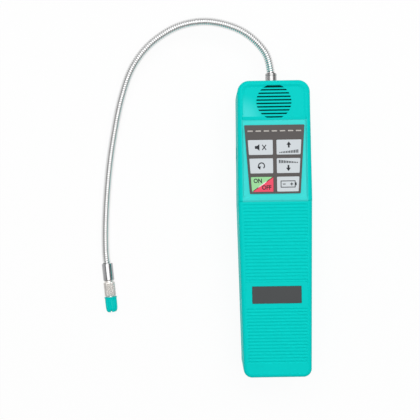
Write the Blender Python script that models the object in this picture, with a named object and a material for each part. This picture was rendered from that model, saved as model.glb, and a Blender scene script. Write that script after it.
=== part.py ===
"""A handheld refrigerant leak detector with a gooseneck probe, lying on its back.

+Z points out of the front face, +Y towards the probe and +X to the right of someone who looks at the
keys. The origin is the middle of the flat back. Lengths are metres.
"""

import math

import bmesh
import bpy
from mathutils import Matrix, Vector

MM = 0.001
SEAM = 0.3 * MM  # what touching neighbours keep between them
REACH = 20 * MM  # how far a cutter runs past what it cuts
SMALL_EDGE = 0.5 * MM  # the bevel on the ends of turned pieces

# Outline of the two housings, seen from the front
BODY_LENGTH = 229 * MM
TOP_Y = BODY_LENGTH / 2
HEAD_HALF_WIDTH = 28.0 * MM
SHOULDER_HALF_WIDTH = 28.6 * MM
FOOT_HALF_WIDTH = 26.3 * MM
SHOULDER_Y = TOP_Y - 93.5 * MM
HEAD_CORNER = 9.0 * MM
FOOT_CORNER = 6.3 * MM
LEAST_CORNER = 0.8 * MM
HEAD_CORNER_STEPS = 6
FOOT_CORNER_STEPS = 4
RIM_STEPS = 4

# Depth of the housings
BODY_DEPTH = 44.0 * MM
PARTING_Z = BODY_DEPTH / 2
WALL = 2.4 * MM
INNER_FILLET = 2.4 * MM
FRONT_WALL = 4.6 * MM
FRONT_EDGE = 3.0 * MM
FRONT_EDGE_DROP = 4.5 * MM
BACK_EDGE = 4.0 * MM
BACK_EDGE_RISE = 5.0 * MM
HANDLE_DROP = 1.0 * MM
SHOULDER_SLOPE = 1.2 * MM
LIP_HEIGHT = 1.5 * MM
SKIRT_WIDTH = 1.0 * MM  # the part of the front shell's wall that laps over the rear shell's lip
HANDLE_Z = BODY_DEPTH - HANDLE_DROP
CEILING_Z = BODY_DEPTH - FRONT_WALL
REAR_TOP_Z = PARTING_Z - SEAM / 2
FRONT_FOOT_Z = PARTING_Z + SEAM / 2
BOARD_DROP = 11.0 * MM  # how far the circuit board's underside lies below the face

# Round cells in the battery bay, which fill what the door and the circuit board leave of the depth
SCREW_HEAD_HEIGHT = 1.8 * MM
BAY_CLEARANCE = 0.6 * MM
BAY_WALL = 1.5 * MM
DOOR_THICKNESS = 2.0 * MM
BAY_ROOF_Z = BODY_DEPTH - BOARD_DROP - SCREW_HEAD_HEIGHT - 2 * SEAM - BAY_WALL
CELL_RADIUS = (BAY_ROOF_Z - BAY_CLEARANCE - DOOR_THICKNESS - SEAM) / 2
CELL_Z = DOOR_THICKNESS + SEAM + CELL_RADIUS
BAY_HALF_WIDTH = CELL_RADIUS + BAY_CLEARANCE
CELL_LENGTH = 50.0 * MM
CELL_NUB_LENGTH = 1.8 * MM
CELL_NUB_RADIUS = 3.6 * MM
CELL_EDGE = 1.2 * MM
BAY_BOTTOM_Y = -TOP_Y + 4.5 * MM
CONTACT_THICKNESS = 0.5 * MM
CONTACT_HALF = CELL_RADIUS - 4.1 * MM
SPRING_TURNS = 3
SPRING_TURN_STEPS = 8
SPRING_LENGTH = 3.6 * MM
SPRING_WIRE = 0.5 * MM
SPRING_BASE_RADIUS = CONTACT_HALF - 2.0 * MM
SPRING_TIP_RADIUS = SPRING_BASE_RADIUS - 3.0 * MM
SPRING_Y = BAY_BOTTOM_Y + 2 * SEAM + CONTACT_THICKNESS
FIRST_CELL_Y = SPRING_Y + SPRING_LENGTH + SEAM
BAY_TOP_Y = FIRST_CELL_Y + 2 * CELL_LENGTH + 3 * SEAM + CONTACT_THICKNESS

# Dish round the speaker and the slots of its grille
DISH_SIDE = 4.4 * MM
DISH_TOP_Y = TOP_Y - 3.5 * MM
DISH_BOTTOM_Y = TOP_Y - 28.3 * MM
DISH_DEPTH = 0.9 * MM
DISH_CORNER = 5.0 * MM
SPEAKER_Y = TOP_Y - 16.6 * MM
GRILLE_RADIUS = 13.5 * MM
SLOT_COUNT = 10
SLOT_PITCH = 2.61 * MM
SLOT_WIDTH = 1.15 * MM
WELL_RADIUS = 13.3 * MM
WELL_ROOF = 1.8 * MM

# Pocket that takes the keypad
POCKET_TOP_Y = TOP_Y - 33.6 * MM
POCKET_BOTTOM_Y = TOP_Y - 91.6 * MM
POCKET_HALF_WIDTH = 24.0 * MM
POCKET_DEPTH = 1.6 * MM
POCKET_CORNER = 1.5 * MM
POCKET_BROW = 2.2 * MM
POCKET_BEVEL = 0.8 * MM
POCKET_Z = BODY_DEPTH - POCKET_DEPTH
WELL_DEPTH = 1.2 * MM
WELL_MARGIN = 2.0 * MM
WELL_Z = POCKET_Z - WELL_DEPTH

# Keypad
PAD_TOP_Y = TOP_Y - 34.5 * MM
PAD_BOTTOM_Y = TOP_Y - 87.3 * MM
PAD_TOP_HALF = 23.1 * MM
PAD_BOTTOM_HALF = 19.5 * MM
PAD_CORNER = 0.8 * MM
PAD_THICKNESS = 0.6 * MM
FILM_THICKNESS = 0.3 * MM
FILM_GAP = 0.2 * MM
KEY_HEIGHT = 11.5 * MM
KEY_PITCH = 14.2 * MM
TOP_KEY_Y = TOP_Y - 51.7 * MM
KEY_MIDDLE_GAP = 1.4 * MM
KEY_SIDE_MARGIN = 1.7 * MM
KEY_CORNER = 1.0 * MM
KEY_PROUD = 0.25 * MM
KEY_TRAVEL = 0.4 * MM
KEY_THICKNESS = 0.6 * MM
SPLIT_CORNER = 0.35 * MM
DOME_RADIUS = 4.0 * MM
DOME_SHEET = 0.12 * MM
DOME_SHOULDER = 0.7  # share of the dome's radius where it turns into its crown
DOME_CROWN = 0.3
DOME_CROWN_RISE = 0.08 * MM
KEY_ROWS = (("mute", "sensitivity_up"), ("reset", "sensitivity_down"), ("power", "battery_test"))
LIGHT_COUNT = 7
LIGHT_PITCH = 6.2 * MM
LIGHT_Y = TOP_Y - 39.1 * MM
LIGHT_LENGTH = 4.2 * MM
LIGHT_WIDTH = 1.1 * MM
PAD_Z = POCKET_Z + FILM_GAP
PAD_TOP_Z = PAD_Z + PAD_THICKNESS
KEY_TOP_Z = PAD_TOP_Z + KEY_PROUD
DOME_Z = WELL_Z + 2 * FILM_GAP + FILM_THICKNESS
DOME_TOP_Z = KEY_TOP_Z - KEY_THICKNESS - KEY_TRAVEL - SEAM / 2

# Ribbed handle and the plate on it
PLATE_SHARE = 0.5284  # how far down the handle the plate's middle lies
PLATE_Y = SHOULDER_Y - PLATE_SHARE * (SHOULDER_Y + TOP_Y)
PLATE_LENGTH = 37.7 * MM
PLATE_HEIGHT = 13.0 * MM
PLATE_THICKNESS = 0.5 * MM
PLATE_CORNER = 0.4 * MM
PLATE_SINK = 0.35 * MM
FIELD_HALF = 10.05 * MM
FIELD_DEPTH = 0.25 * MM
GROOVE_WIDTH = 1.5 * MM
GROOVE_FLOOR = 0.5 * MM
GROOVE_DEPTH = 0.65 * MM
GROOVE_SIDE = 4.5 * MM
UPPER_GROOVE_PITCH = 2.63 * MM
UPPER_GROOVE_Y = SHOULDER_Y - 2.6 * MM
UPPER_GROOVE_END = PLATE_Y + FIELD_HALF + GROOVE_WIDTH / 2
LOWER_GROOVE_PITCH = 2.53 * MM
LOWER_GROOVE_Y = PLATE_Y - FIELD_HALF - 1.15 * MM
LOWER_GROOVE_END = -TOP_Y + 11.0 * MM

# Battery door in the back
DOOR_HALF_WIDTH = 20.0 * MM
DOOR_FLANGE = 1.2 * MM
DOOR_FLANGE_Z = 1.2 * MM
DOOR_OVERLAP = 2.0 * MM  # how far the door reaches past the bay's upper end
RAIL_HALF_WIDTH = 22.4 * MM
RAIL_TOP_Z = 3.6 * MM
DOOR_GRIP_COUNT = 6
DOOR_GRIP_START = 8.0 * MM
DOOR_GRIP_PITCH = 2.0 * MM
DOOR_GRIP_LENGTH = 16.0 * MM
DOOR_GRIP_DEPTH = 0.5 * MM
DOOR_GRIP_WIDTH = 1.0 * MM
DOOR_GRIP_MOUTH = 0.1 * MM
DOOR_TOP_Y = BAY_TOP_Y + DOOR_OVERLAP
DOOR_LENGTH = TOP_Y + DOOR_TOP_Y

# Screws
SCREW_X = HEAD_HALF_WIDTH - 8.0 * MM
UPPER_SCREW_Y = TOP_Y - 15.0 * MM
LOWER_SCREW_Y = DOOR_TOP_Y + 10.6 * MM
SCREW_HEAD_RADIUS = 2.8 * MM
SCREW_HEAD_Z = 1.0 * MM
SCREW_SHANK_RADIUS = 1.3 * MM
SCREW_TIP_RADIUS = 0.4 * MM
SCREW_GRIP = 6.8 * MM  # how far the housing screws reach into the front shell's posts
SCREW_LENGTH = PARTING_Z + SCREW_GRIP - SCREW_HEAD_Z - SCREW_HEAD_HEIGHT
SCREW_SIDES = 12
POST_RADIUS = 3.3 * MM
POST_BOSS_RADIUS = 4.3 * MM
POST_BOSS_Z = 4.4 * MM
POST_SIDES = 12
BORE_SIDES = 8

# Circuit board and what it carries
BOARD_Z = BODY_DEPTH - BOARD_DROP
BOARD_THICKNESS = 1.6 * MM
BOARD_HALF_WIDTH = 15.6 * MM
BOARD_CORNER = 2.0 * MM
BOARD_TOP_Y = TOP_Y - 38.5 * MM
BOARD_BOTTOM_Y = -TOP_Y + 54.5 * MM
BOARD_SCREW_YS = (BOARD_TOP_Y - 7.0 * MM, BOARD_BOTTOM_Y + 8.0 * MM)
BOARD_SCREW_LENGTH = 6.2 * MM
CHIP_SIDE = 10.0 * MM
CHIP_HEIGHT = 1.6 * MM
CHIP_Y = (BOARD_TOP_Y + BOARD_BOTTOM_Y) / 2 + 4.0 * MM
CORE_SIZE = (15 * MM, 13 * MM, 12 * MM)
CORE_X = 7.0 * MM
CORE_Y = BAY_TOP_Y + 18.0 * MM
WINDOW_LEVELS = (0.2, 0.8)  # where the core's window starts and ends, as shares of its height
WINDING_RADIUS = 3.4 * MM
WINDING_PROUD = 0.75 * MM  # how far the winding stands out of each end of the core
CAN_RADIUS = 5.0 * MM
CAN_HEIGHT = 12.0 * MM
CAN_X = -8.0 * MM
SOCKET_SIZE = (8 * MM, 6 * MM, 6 * MM)
SOCKET_X = 8.0 * MM
SOCKET_Y = BOARD_TOP_Y - 6.0 * MM

# Speaker
SPEAKER_RADIUS = 12.9 * MM
SPEAKER_RIM = 1.6 * MM
SPEAKER_FLANGE = 1.0 * MM
SPEAKER_SHEET = 0.6 * MM
SPEAKER_DEPTH = 4.6 * MM
SPEAKER_BACK_RADIUS = 7.2 * MM
SPEAKER_HOLE_RADIUS = 3.0 * MM
SPEAKER_SIDES = 16
MAGNET_RADIUS = 7.6 * MM
MAGNET_HEIGHT = 3.4 * MM
CONE_THICKNESS = 0.4 * MM
CONE_HUB_RADIUS = 3.6 * MM
CONE_DROP = 0.9 * MM
CONE_RIM = 0.6 * MM
CONE_GAP = 1.1 * MM

# Holster in the left side that the probe's tip is parked in
HOLSTER_Y = TOP_Y - 54.5 * MM
HOLSTER_Z = PARTING_Z - 8.4 * MM
HOLSTER_BORE = 5.4 * MM
HOLSTER_WALL = 1.0 * MM
HOLSTER_DEPTH = 26.0 * MM
HOLSTER_INSET = 1.2 * MM
HOLSTER_FLARE = 0.6 * MM

# Gooseneck and the turned sockets at its ends
EXIT_Z = PARTING_Z
NECK_RADIUS = 3.5 * MM
NECK_PITCH = 2.0 * MM
NECK_GROOVE = 0.45 * MM
NECK_SIDES = 8
NECK_FIT = 0.3 * MM
NECK_IN_FERRULE = 14.0 * MM
FERRULE_BORE = NECK_RADIUS + NECK_FIT
FERRULE_RADIUS = FERRULE_BORE + 0.7 * MM
FERRULE_OUT = 9.1 * MM
FERRULE_FLANGE = 6.4 * MM
FERRULE_FLANGE_WIDTH = 2.0 * MM
FERRULE_TAIL = 9.5 * MM
CRADLE_HALF_WIDTH = 9.0 * MM
CRADLE_THICKNESS = 1.9 * MM
NECK_END_Y = TOP_Y + FERRULE_OUT  # where the neck leaves its ferrule

# Route of the neck's middle line past the ferrule, bent by hand as such a stem is: to the side, on
# past the ferrule's end, and the share of the exit's height over the tip that is left
SWING_BEND = (-4.6, 17.4, 0.982)
ARCH_BENDS = (
    (-19.8, 33.1, 0.922), (-39.4, 41.5, 0.843), (-58.7, 43.4, 0.747), (-78.4, 38.6, 0.645),
    (-98.3, 25.7, 0.506),
)
LIFT_BEND = (-112.6, 7.4, 0.3735)
HANGING_BENDS = (
    (-121.6, -16.1, 0.235), (-127.4, -40.6, 0.1325), (-132.8, -72.1, 0.03), (-136.2, -108.6, 0.0),
)
TIP_X = -135.9 * MM
TIP_Y = NECK_END_Y - 151.0 * MM
TIP_Z = 5.4 * MM
TIP_LEAN = 5.1  # degrees that the tip points to the right of straight down the handle
TIP_RUN_IN = 12.0 * MM  # how far before the sleeve the neck is straight

# Probe tip, in lengths along its own axis
NECK_IN_SLEEVE = 7.0 * MM
SLEEVE_LENGTH = 13.9 * MM
SLEEVE_RADIUS = 4.45 * MM
SLEEVE_EDGE = 0.4 * MM
SLEEVE_HOLE_RADIUS = 1.0 * MM
SPIGOT_LENGTH = 4.0 * MM
SPIGOT_RADIUS = 3.6 * MM
BARREL_LENGTH = 12.9 * MM
BARREL_RADIUS = 4.75 * MM
BARREL_EDGE = 0.6 * MM
BARREL_NECK = 0.9 * MM
BARREL_NECK_LENGTH = 1.2 * MM
BARREL_TEETH = 16
KNURL_START = 2.0 * MM
KNURL_DEPTH = 0.3 * MM
BARREL_NOSE_LENGTH = 5.0 * MM
BARREL_NOSE_RADIUS = 3.7 * MM
SENSOR_RADIUS = 2.4 * MM
SENSOR_CAP_RADIUS = 2.0 * MM
SENSOR_EDGE = 0.6 * MM
SENSOR_OUT = 9.0 * MM
CAP_LENGTH = 12.4 * MM
CAP_LIP_RADIUS = 5.1 * MM
CAP_LIP_LENGTH = 0.9 * MM
CAP_FLARE_LENGTH = 0.55 * MM
CAP_RUN_OUT = 1.25 * MM
CAP_RADIUS = 4.75 * MM
CAP_MOUTH_RADIUS = 4.0 * MM
CAP_BULGE = 0.15 * MM
CAP_WALL = 0.75 * MM
CAP_TAPER_LENGTH = 4.0 * MM
CAP_FLUTE_COUNT = 12
CAP_FLUTE_DEPTH = 0.3 * MM
CAP_NOTCH_PAIRS = 3
CAP_NOTCH_WIDTH = 1.1 * MM
CAP_NOTCH_DEPTH = 2.6 * MM

# Cable inside the housing
CABLE_RADIUS = 1.3 * MM
CABLE_STRAIGHT = 12.0 * MM
CABLE_STEP = 4.0 * MM


def finish(name, colour, roughness, metallic=0.0):
    """A plain material in a linear colour."""
    made = bpy.data.materials.new(name)
    made.use_nodes = True
    shader = made.node_tree.nodes["Principled BSDF"]
    shader.inputs["Base Color"].default_value = (*colour, 1)
    shader.inputs["Roughness"].default_value = roughness
    shader.inputs["Metallic"].default_value = metallic
    made.diffuse_color = (*colour, 1)
    return made


def clear_scene():
    """Takes out whatever the scene holds."""
    for left in list(bpy.data.objects):
        bpy.data.objects.remove(left, do_unlink=True)


def ring_solid(rings, loop=False, into=None):
    """Skins rings of as many points each, closed by its end rings or round into a loop."""
    mesh = into or bmesh.new()
    rows = [[mesh.verts.new(point) for point in ring] for ring in rings]
    pairs = list(zip(rows, rows[1:]))
    if loop:
        pairs.append((rows[-1], rows[0]))
    for low, high in pairs:
        for i in range(len(low)):
            j = (i + 1) % len(low)
            mesh.faces.new((low[i], low[j], high[j], high[i]))
    if not loop:
        mesh.faces.new(rows[0])
        mesh.faces.new(rows[-1])
    bmesh.ops.recalc_face_normals(mesh, faces=mesh.faces)
    return mesh


def add_object(name, mesh, material=None, parent=None, origin=(0, 0, 0), crease=None):
    """Makes an object of a bmesh, with its origin moved to a place of its own."""
    origin = Vector(origin)
    bmesh.ops.translate(mesh, verts=mesh.verts, vec=-origin)
    data = bpy.data.meshes.new(name)
    mesh.to_mesh(data)
    mesh.free()
    made = bpy.data.objects.new(name, data)
    bpy.context.scene.collection.objects.link(made)
    made.location = origin
    made.parent = parent
    if material:
        data.materials.append(material)
    if crease:
        data.shade_smooth()
        data.set_sharp_from_angle(angle=math.radians(crease))
    return made


def add_empty(name, place, parent=None, turn=0.0):
    """An axis that pieces hang on."""
    made = bpy.data.objects.new(name, None)
    bpy.context.scene.collection.objects.link(made)
    made.location = place
    made.rotation_euler = (0, 0, turn)
    made.parent = parent
    return made


def combine(target, mesh, operation="DIFFERENCE"):
    """Cuts a hidden tool out of a solid, or joins it on."""
    tool = add_object(f"{target.name}_tool", mesh)
    tool.hide_render = True
    tool.display_type = "WIRE"
    step = target.modifiers.new(operation.lower(), "BOOLEAN")
    step.operation = operation
    step.solver = "EXACT"
    step.object = tool


def arc(middle, radius, start, end, steps):
    """Points along an arc, with both its ends."""
    angles = [math.radians(start + (end - start) * i / steps) for i in range(steps + 1)]
    return [(middle[0] + radius * math.cos(a), middle[1] + radius * math.sin(a)) for a in angles]


def body_outline(inset):
    """The housing's outline from the front, moved inwards: round corners and a handle that tapers."""
    foot = max(FOOT_CORNER - inset, LEAST_CORNER)
    head = max(HEAD_CORNER - inset, LEAST_CORNER)
    end = TOP_Y - inset
    foot_middle = (FOOT_HALF_WIDTH - inset - foot, foot - end)
    head_middle = (HEAD_HALF_WIDTH - inset - head, end - head)
    right = arc(foot_middle, foot, -90, 0, FOOT_CORNER_STEPS)
    right.append((SHOULDER_HALF_WIDTH - inset, SHOULDER_Y))
    right += arc(head_middle, head, 0, 90, HEAD_CORNER_STEPS)
    return right + [(-x, y) for x, y in reversed(right)]


def half_width(y):
    """Half the housing's width at a height up the handle or the head."""
    if y > SHOULDER_Y:
        share = (y - SHOULDER_Y) / (TOP_Y - HEAD_CORNER - SHOULDER_Y)
        return SHOULDER_HALF_WIDTH + share * (HEAD_HALF_WIDTH - SHOULDER_HALF_WIDTH)
    share = (SHOULDER_Y - y) / (SHOULDER_Y + TOP_Y - FOOT_CORNER)
    return SHOULDER_HALF_WIDTH + share * (FOOT_HALF_WIDTH - SHOULDER_HALF_WIDTH)


def housing_solid(levels):
    """A shell or block with the housing's outline, from levels of (inset, height)."""
    return ring_solid([[(x, y, z) for x, y in body_outline(inset)] for inset, z in levels])


def rounded(points, radius, steps=2):
    """A convex outline, counter-clockwise, with its corners rounded by one radius or by one each."""
    out = []
    count = len(points)
    radii = radius if isinstance(radius, tuple) else (radius,) * count
    for i, (corner, radius) in enumerate(zip(points, radii)):
        corner = Vector(corner)
        before = (Vector(points[i - 1]) - corner).normalized()
        after = (Vector(points[(i + 1) % count]) - corner).normalized()
        half = before.angle(after) / 2
        middle = corner + (before + after).normalized() * radius / math.sin(half)
        start = corner + before * radius / math.tan(half) - middle
        end = corner + after * radius / math.tan(half) - middle
        sweep = start.angle_signed(end)
        for k in range(steps + 1):
            turned = start.copy()
            turned.rotate(Matrix.Rotation(-sweep * k / steps, 2))
            out.append(tuple(middle + turned))
    return out


def rectangle(half, bottom, top):
    """The corners of an upright rectangle about the middle line."""
    return [(-half, bottom), (half, bottom), (half, top), (-half, top)]


def slab(outline, low, high, into=None):
    """An outline drawn up from one height to another."""
    return ring_solid([[(x, y, z) for x, y in outline] for z in (low, high)], into=into)


def block(low, high, into=None):
    """A box between two corners."""
    outline = [(low[0], low[1]), (high[0], low[1]), (high[0], high[1]), (low[0], high[1])]
    return slab(outline, low[2], high[2], into=into)


def bar(outline, half, into=None):
    """An outline in Y and Z drawn out to both sides along X."""
    return ring_solid([[(x, y, z) for y, z in outline] for x in (-half, half)], into=into)


def turned(levels, sides, place=(0, 0, 0), axis="Z", loop=False, into=None):
    """A turned solid from (radius, distance) levels along an axis, or a loop of them round a bore."""
    rings = []
    for radius, along in levels:
        ring = []
        for k in range(sides):
            a = 2 * math.pi * k / sides
            across, up = radius * math.cos(a), radius * math.sin(a)
            spot = {"X": (along, across, up), "Y": (across, along, up), "Z": (across, up, along)}[axis]
            ring.append(Vector(spot) + Vector(place))
        rings.append(ring)
    return ring_solid(rings, loop, into)


def smooth_route(points, step):
    """Points about a step apart on a curve through a few chosen ones (Catmull-Rom)."""
    points = [Vector(p) for p in points]
    padded = [2 * points[0] - points[1], *points, 2 * points[-1] - points[-2]]
    fine = []
    for a, b, c, d in zip(padded, padded[1:], padded[2:], padded[3:]):
        parts = 40
        for k in range(parts):
            t = k / parts
            fine.append(0.5 * (2 * b + (c - a) * t + (2 * a - 5 * b + 4 * c - d) * t * t
                               + (3 * b - a - 3 * c + d) * t ** 3))
    fine.append(points[-1])
    length = sum((b - a).length for a, b in zip(fine, fine[1:]))
    count = max(2, round(length / step))
    out, walked, k = [fine[0]], 0.0, 0
    for i in range(1, count):
        target = length * i / count
        while walked + (fine[k + 1] - fine[k]).length < target:
            walked += (fine[k + 1] - fine[k]).length
            k += 1
        piece = fine[k + 1] - fine[k]
        out.append(fine[k] + piece * ((target - walked) / piece.length))
    out.append(fine[-1])
    return out


def swept(route, radii, sides, into=None):
    """A round tube along a route, with a radius for each of its points."""
    rings = []
    side = Vector((0, 0, 1))
    for i, middle in enumerate(route):
        ahead = (route[min(i + 1, len(route) - 1)] - route[max(i - 1, 0)]).normalized()
        side = (side - ahead * side.dot(ahead)).normalized()
        across = ahead.cross(side)
        ring = []
        for k in range(sides):
            a = 2 * math.pi * k / sides
            ring.append(middle + radii[i] * (math.cos(a) * side + math.sin(a) * across))
        rings.append(ring)
    return ring_solid(rings, into=into)


def rim(edge, rise):
    """A round edge in section, from the face to the side: how far in and how far from the face."""
    angles = [math.pi / 2 * i / RIM_STEPS for i in range(RIM_STEPS + 1)]
    return [(edge * (1 - math.sin(a)), rise * (1 - math.cos(a))) for a in angles]


def front_levels():
    """The front shell in section: over the rim, down the outside, up the inside to the ceiling."""
    outer = [(inset, BODY_DEPTH - drop) for inset, drop in rim(FRONT_EDGE, FRONT_EDGE_DROP)]
    rebate = FRONT_FOOT_Z + LIP_HEIGHT
    inner = [(0, FRONT_FOOT_Z), (SKIRT_WIDTH, FRONT_FOOT_Z), (SKIRT_WIDTH, rebate), (WALL, rebate),
             (WALL, CEILING_Z - INNER_FILLET), (WALL + INNER_FILLET, CEILING_Z)]
    return outer + inner


def rear_outside():
    """The outside of the rear shell in section, from the flat back up to the parting line."""
    return rim(BACK_EDGE, BACK_EDGE_RISE) + [(0, REAR_TOP_Z)]


def rear_levels():
    """The rear shell in section: up the outside, over the lip and down inside."""
    lip = SKIRT_WIDTH + SEAM
    inner = [(lip, REAR_TOP_Z), (lip, REAR_TOP_Z + LIP_HEIGHT), (WALL, REAR_TOP_Z + LIP_HEIGHT),
             (WALL, WALL + INNER_FILLET), (WALL + INNER_FILLET, WALL)]
    return rear_outside() + inner


def groove_tools():
    """The cross grooves of the handle, each with a flat floor and sloping sides."""
    mesh = bmesh.new()
    for y in groove_places():
        low, high = y - GROOVE_WIDTH / 2, y + GROOVE_WIDTH / 2
        floor = HANDLE_Z - GROOVE_DEPTH
        profile = [(y - GROOVE_FLOOR / 2, floor), (y + GROOVE_FLOOR / 2, floor), (high, HANDLE_Z),
                   (high, HANDLE_Z + REACH), (low, HANDLE_Z + REACH), (low, HANDLE_Z)]
        bar(profile, half_width(y) - GROOVE_SIDE, into=mesh)
    return mesh


def groove_places():
    """Where the cross grooves lie, above the plate and below it."""
    places = []
    for first, last, pitch in ((UPPER_GROOVE_Y, UPPER_GROOVE_END, UPPER_GROOVE_PITCH),
                               (LOWER_GROOVE_Y, LOWER_GROOVE_END, LOWER_GROOVE_PITCH)):
        count = 1 + int((first - last) / pitch)
        places += [first - i * pitch for i in range(count)]
    return places


def slot_tools():
    """The level slots of the speaker grille, as long as the circle allows."""
    mesh = bmesh.new()
    for i in range(SLOT_COUNT):
        up = ((SLOT_COUNT - 1) / 2 - i) * SLOT_PITCH
        half = math.sqrt(GRILLE_RADIUS ** 2 - up ** 2) - SLOT_WIDTH / 2
        y = SPEAKER_Y + up
        outline = arc((half, y), SLOT_WIDTH / 2, -90, 90, 2) + arc((-half, y), SLOT_WIDTH / 2, 90, 270, 2)
        slab(outline, CEILING_Z - MM, BODY_DEPTH + MM, into=mesh)
    return mesh


def pocket_tool():
    """The keypad's shallow tray, whose walls lean outwards, more so at its upper end."""
    low = rounded(rectangle(POCKET_HALF_WIDTH, POCKET_BOTTOM_Y, POCKET_TOP_Y), POCKET_CORNER)
    mouth = rectangle(POCKET_HALF_WIDTH + POCKET_BEVEL, POCKET_BOTTOM_Y - POCKET_BEVEL / 2,
                      POCKET_TOP_Y + POCKET_BROW)
    high = rounded(mouth, POCKET_CORNER)
    rings = [[(x, y, POCKET_Z) for x, y in low], [(x, y, BODY_DEPTH) for x, y in high],
             [(x, y, BODY_DEPTH + MM) for x, y in high]]
    return ring_solid(rings)


def dish_tool():
    """The dish round the grille, whose upper corners follow the head's."""
    half = half_width(DISH_BOTTOM_Y) - DISH_SIDE
    outline = [(-half, DISH_BOTTOM_Y), (half, DISH_BOTTOM_Y)]
    outline += arc((half - DISH_CORNER, DISH_TOP_Y - DISH_CORNER), DISH_CORNER, 0, 90, 4)
    outline += arc((DISH_CORNER - half, DISH_TOP_Y - DISH_CORNER), DISH_CORNER, 90, 180, 4)
    middle = (DISH_TOP_Y + DISH_BOTTOM_Y) / 2
    wider = 1 + DISH_DEPTH / half
    rings = []
    for share, z in ((1, BODY_DEPTH - DISH_DEPTH), (wider, BODY_DEPTH), (wider, BODY_DEPTH + MM)):
        rings.append([(x * share, middle + (y - middle) * share, z) for x, y in outline])
    return ring_solid(rings)


def pad_half(y):
    """Half the keypad's width at a height up the face."""
    share = (y - PAD_BOTTOM_Y) / (PAD_TOP_Y - PAD_BOTTOM_Y)
    return PAD_BOTTOM_HALF + share * (PAD_TOP_HALF - PAD_BOTTOM_HALF)


def pad_outline(margin):
    """The keypad's outline, narrower at its foot, moved inwards by a margin."""
    bottom, top = PAD_BOTTOM_Y + margin, PAD_TOP_Y - margin
    low, high = pad_half(bottom) - margin, pad_half(top) - margin
    return rounded([(-low, bottom), (low, bottom), (high, top), (-high, top)], PAD_CORNER)


def key_places():
    """Each key's name, row and side, top row first, left key first."""
    return [(name, row, side) for row, pair in enumerate(KEY_ROWS) for name, side in zip(pair, (-1, 1))]


def key_corners(row, side, grow=0.0):
    """A key's four corners: its inner edge is upright, its outer one leans with the keypad's side."""
    middle = TOP_KEY_Y - row * KEY_PITCH
    low, high = middle - KEY_HEIGHT / 2 - grow, middle + KEY_HEIGHT / 2 + grow
    inner = KEY_MIDDLE_GAP - grow
    outer = [pad_half(y) - KEY_SIDE_MARGIN + grow for y in (low, high)]
    if side < 0:
        return [(-outer[0], low), (-inner, low), (-inner, high), (-outer[1], high)]
    return [(inner, low), (outer[0], low), (outer[1], high), (inner, high)]


def key_outline(row, side, grow=0.0):
    """A key's outline, with round corners, grown by a gap."""
    return rounded(key_corners(row, side, grow), KEY_CORNER + grow)


def split_outlines(row, side):
    """The two halves of the key that is slanted from corner to corner: the upper left, the lower right."""
    left, right, upper_right, upper_left = [Vector(corner) for corner in key_corners(row, side)]
    slant = (upper_right - left).normalized()
    aside = Vector((-slant.y, slant.x)) * SEAM / 2
    lean = upper_left - left
    along = slant * SEAM
    upper = [left + lean.normalized() * SEAM, upper_right + aside - along, upper_left]
    lower = [left - aside + along, right, upper_right - Vector((0, SEAM))]
    return [rounded(upper, (SPLIT_CORNER, SPLIT_CORNER, KEY_CORNER)),
            rounded(lower, (SPLIT_CORNER, KEY_CORNER, SPLIT_CORNER))]


def key_middle(row, side):
    """The middle of a key at the height of its top."""
    y = TOP_KEY_Y - row * KEY_PITCH
    return Vector((side * (KEY_MIDDLE_GAP + pad_half(y) - KEY_SIDE_MARGIN) / 2, y, KEY_TOP_Z))


def light_xs():
    """Where the row of signal lights stands."""
    return [(i - (LIGHT_COUNT - 1) / 2) * LIGHT_PITCH for i in range(LIGHT_COUNT)]


def build_front_housing(plastic):
    """The front shell with its grille, keypad pocket, grooves, posts and the half hole for the neck."""
    front = add_object("front_housing", housing_solid(front_levels()), plastic, crease=28)
    below, brink = -TOP_Y - REACH, SHOULDER_Y + SHOULDER_SLOPE
    shoulder = [(below, HANDLE_Z), (SHOULDER_Y, HANDLE_Z), (brink, BODY_DEPTH + MM),
                (brink, BODY_DEPTH + REACH), (below, BODY_DEPTH + REACH)]
    posts = bmesh.new()
    ceiling = (POST_RADIUS, CEILING_Z + MM)
    for x, y in screw_places():
        turned([(POST_RADIUS, FRONT_FOOT_Z), ceiling], POST_SIDES, (x, y, 0), into=posts)
    for y in BOARD_SCREW_YS:
        turned([(POST_RADIUS, BOARD_Z + BOARD_THICKNESS + SEAM), ceiling], POST_SIDES, (0, y, 0), into=posts)
    combine(front, posts, "UNION")
    combine(front, bar(shoulder, SHOULDER_HALF_WIDTH + REACH))
    combine(front, dish_tool())
    combine(front, pocket_tool())
    combine(front, slab(pad_outline(WELL_MARGIN), WELL_Z, POCKET_Z + MM))
    combine(front, groove_tools())
    half = half_width(PLATE_Y) - GROOVE_SIDE
    field = rectangle(half, PLATE_Y - FIELD_HALF, PLATE_Y + FIELD_HALF)
    combine(front, slab(field, HANDLE_Z - FIELD_DEPTH, HANDLE_Z + MM))
    combine(front, slab(plate_outline(SEAM), HANDLE_Z - FIELD_DEPTH - PLATE_SINK - FILM_GAP, HANDLE_Z + MM))
    roof = BODY_DEPTH - DISH_DEPTH - WELL_ROOF
    combine(front, turned([(WELL_RADIUS, CEILING_Z - WELL_ROOF), (WELL_RADIUS, roof)], 32, (0, SPEAKER_Y, 0)))
    combine(front, slot_tools())
    bores = bmesh.new()
    bore = SCREW_SHANK_RADIUS + SEAM
    for x, y in screw_places():
        turned([(bore, FRONT_FOOT_Z - MM), (bore, screw_end() + MM)], BORE_SIDES, (x, y, 0), into=bores)
    for y in BOARD_SCREW_YS:
        turned([(bore, BOARD_Z), (bore, board_screw_end() + SEAM)], BORE_SIDES, (0, y, 0), into=bores)
    combine(front, bores)
    combine(front, exit_tool())
    return front


def exit_tool():
    """The round hole in the head's end that the ferrule comes out of, half in each shell."""
    radius = FERRULE_RADIUS + SEAM
    return turned([(radius, TOP_Y - REACH / 2), (radius, TOP_Y + REACH)], 24, (0, 0, EXIT_Z), "Y")


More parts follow.
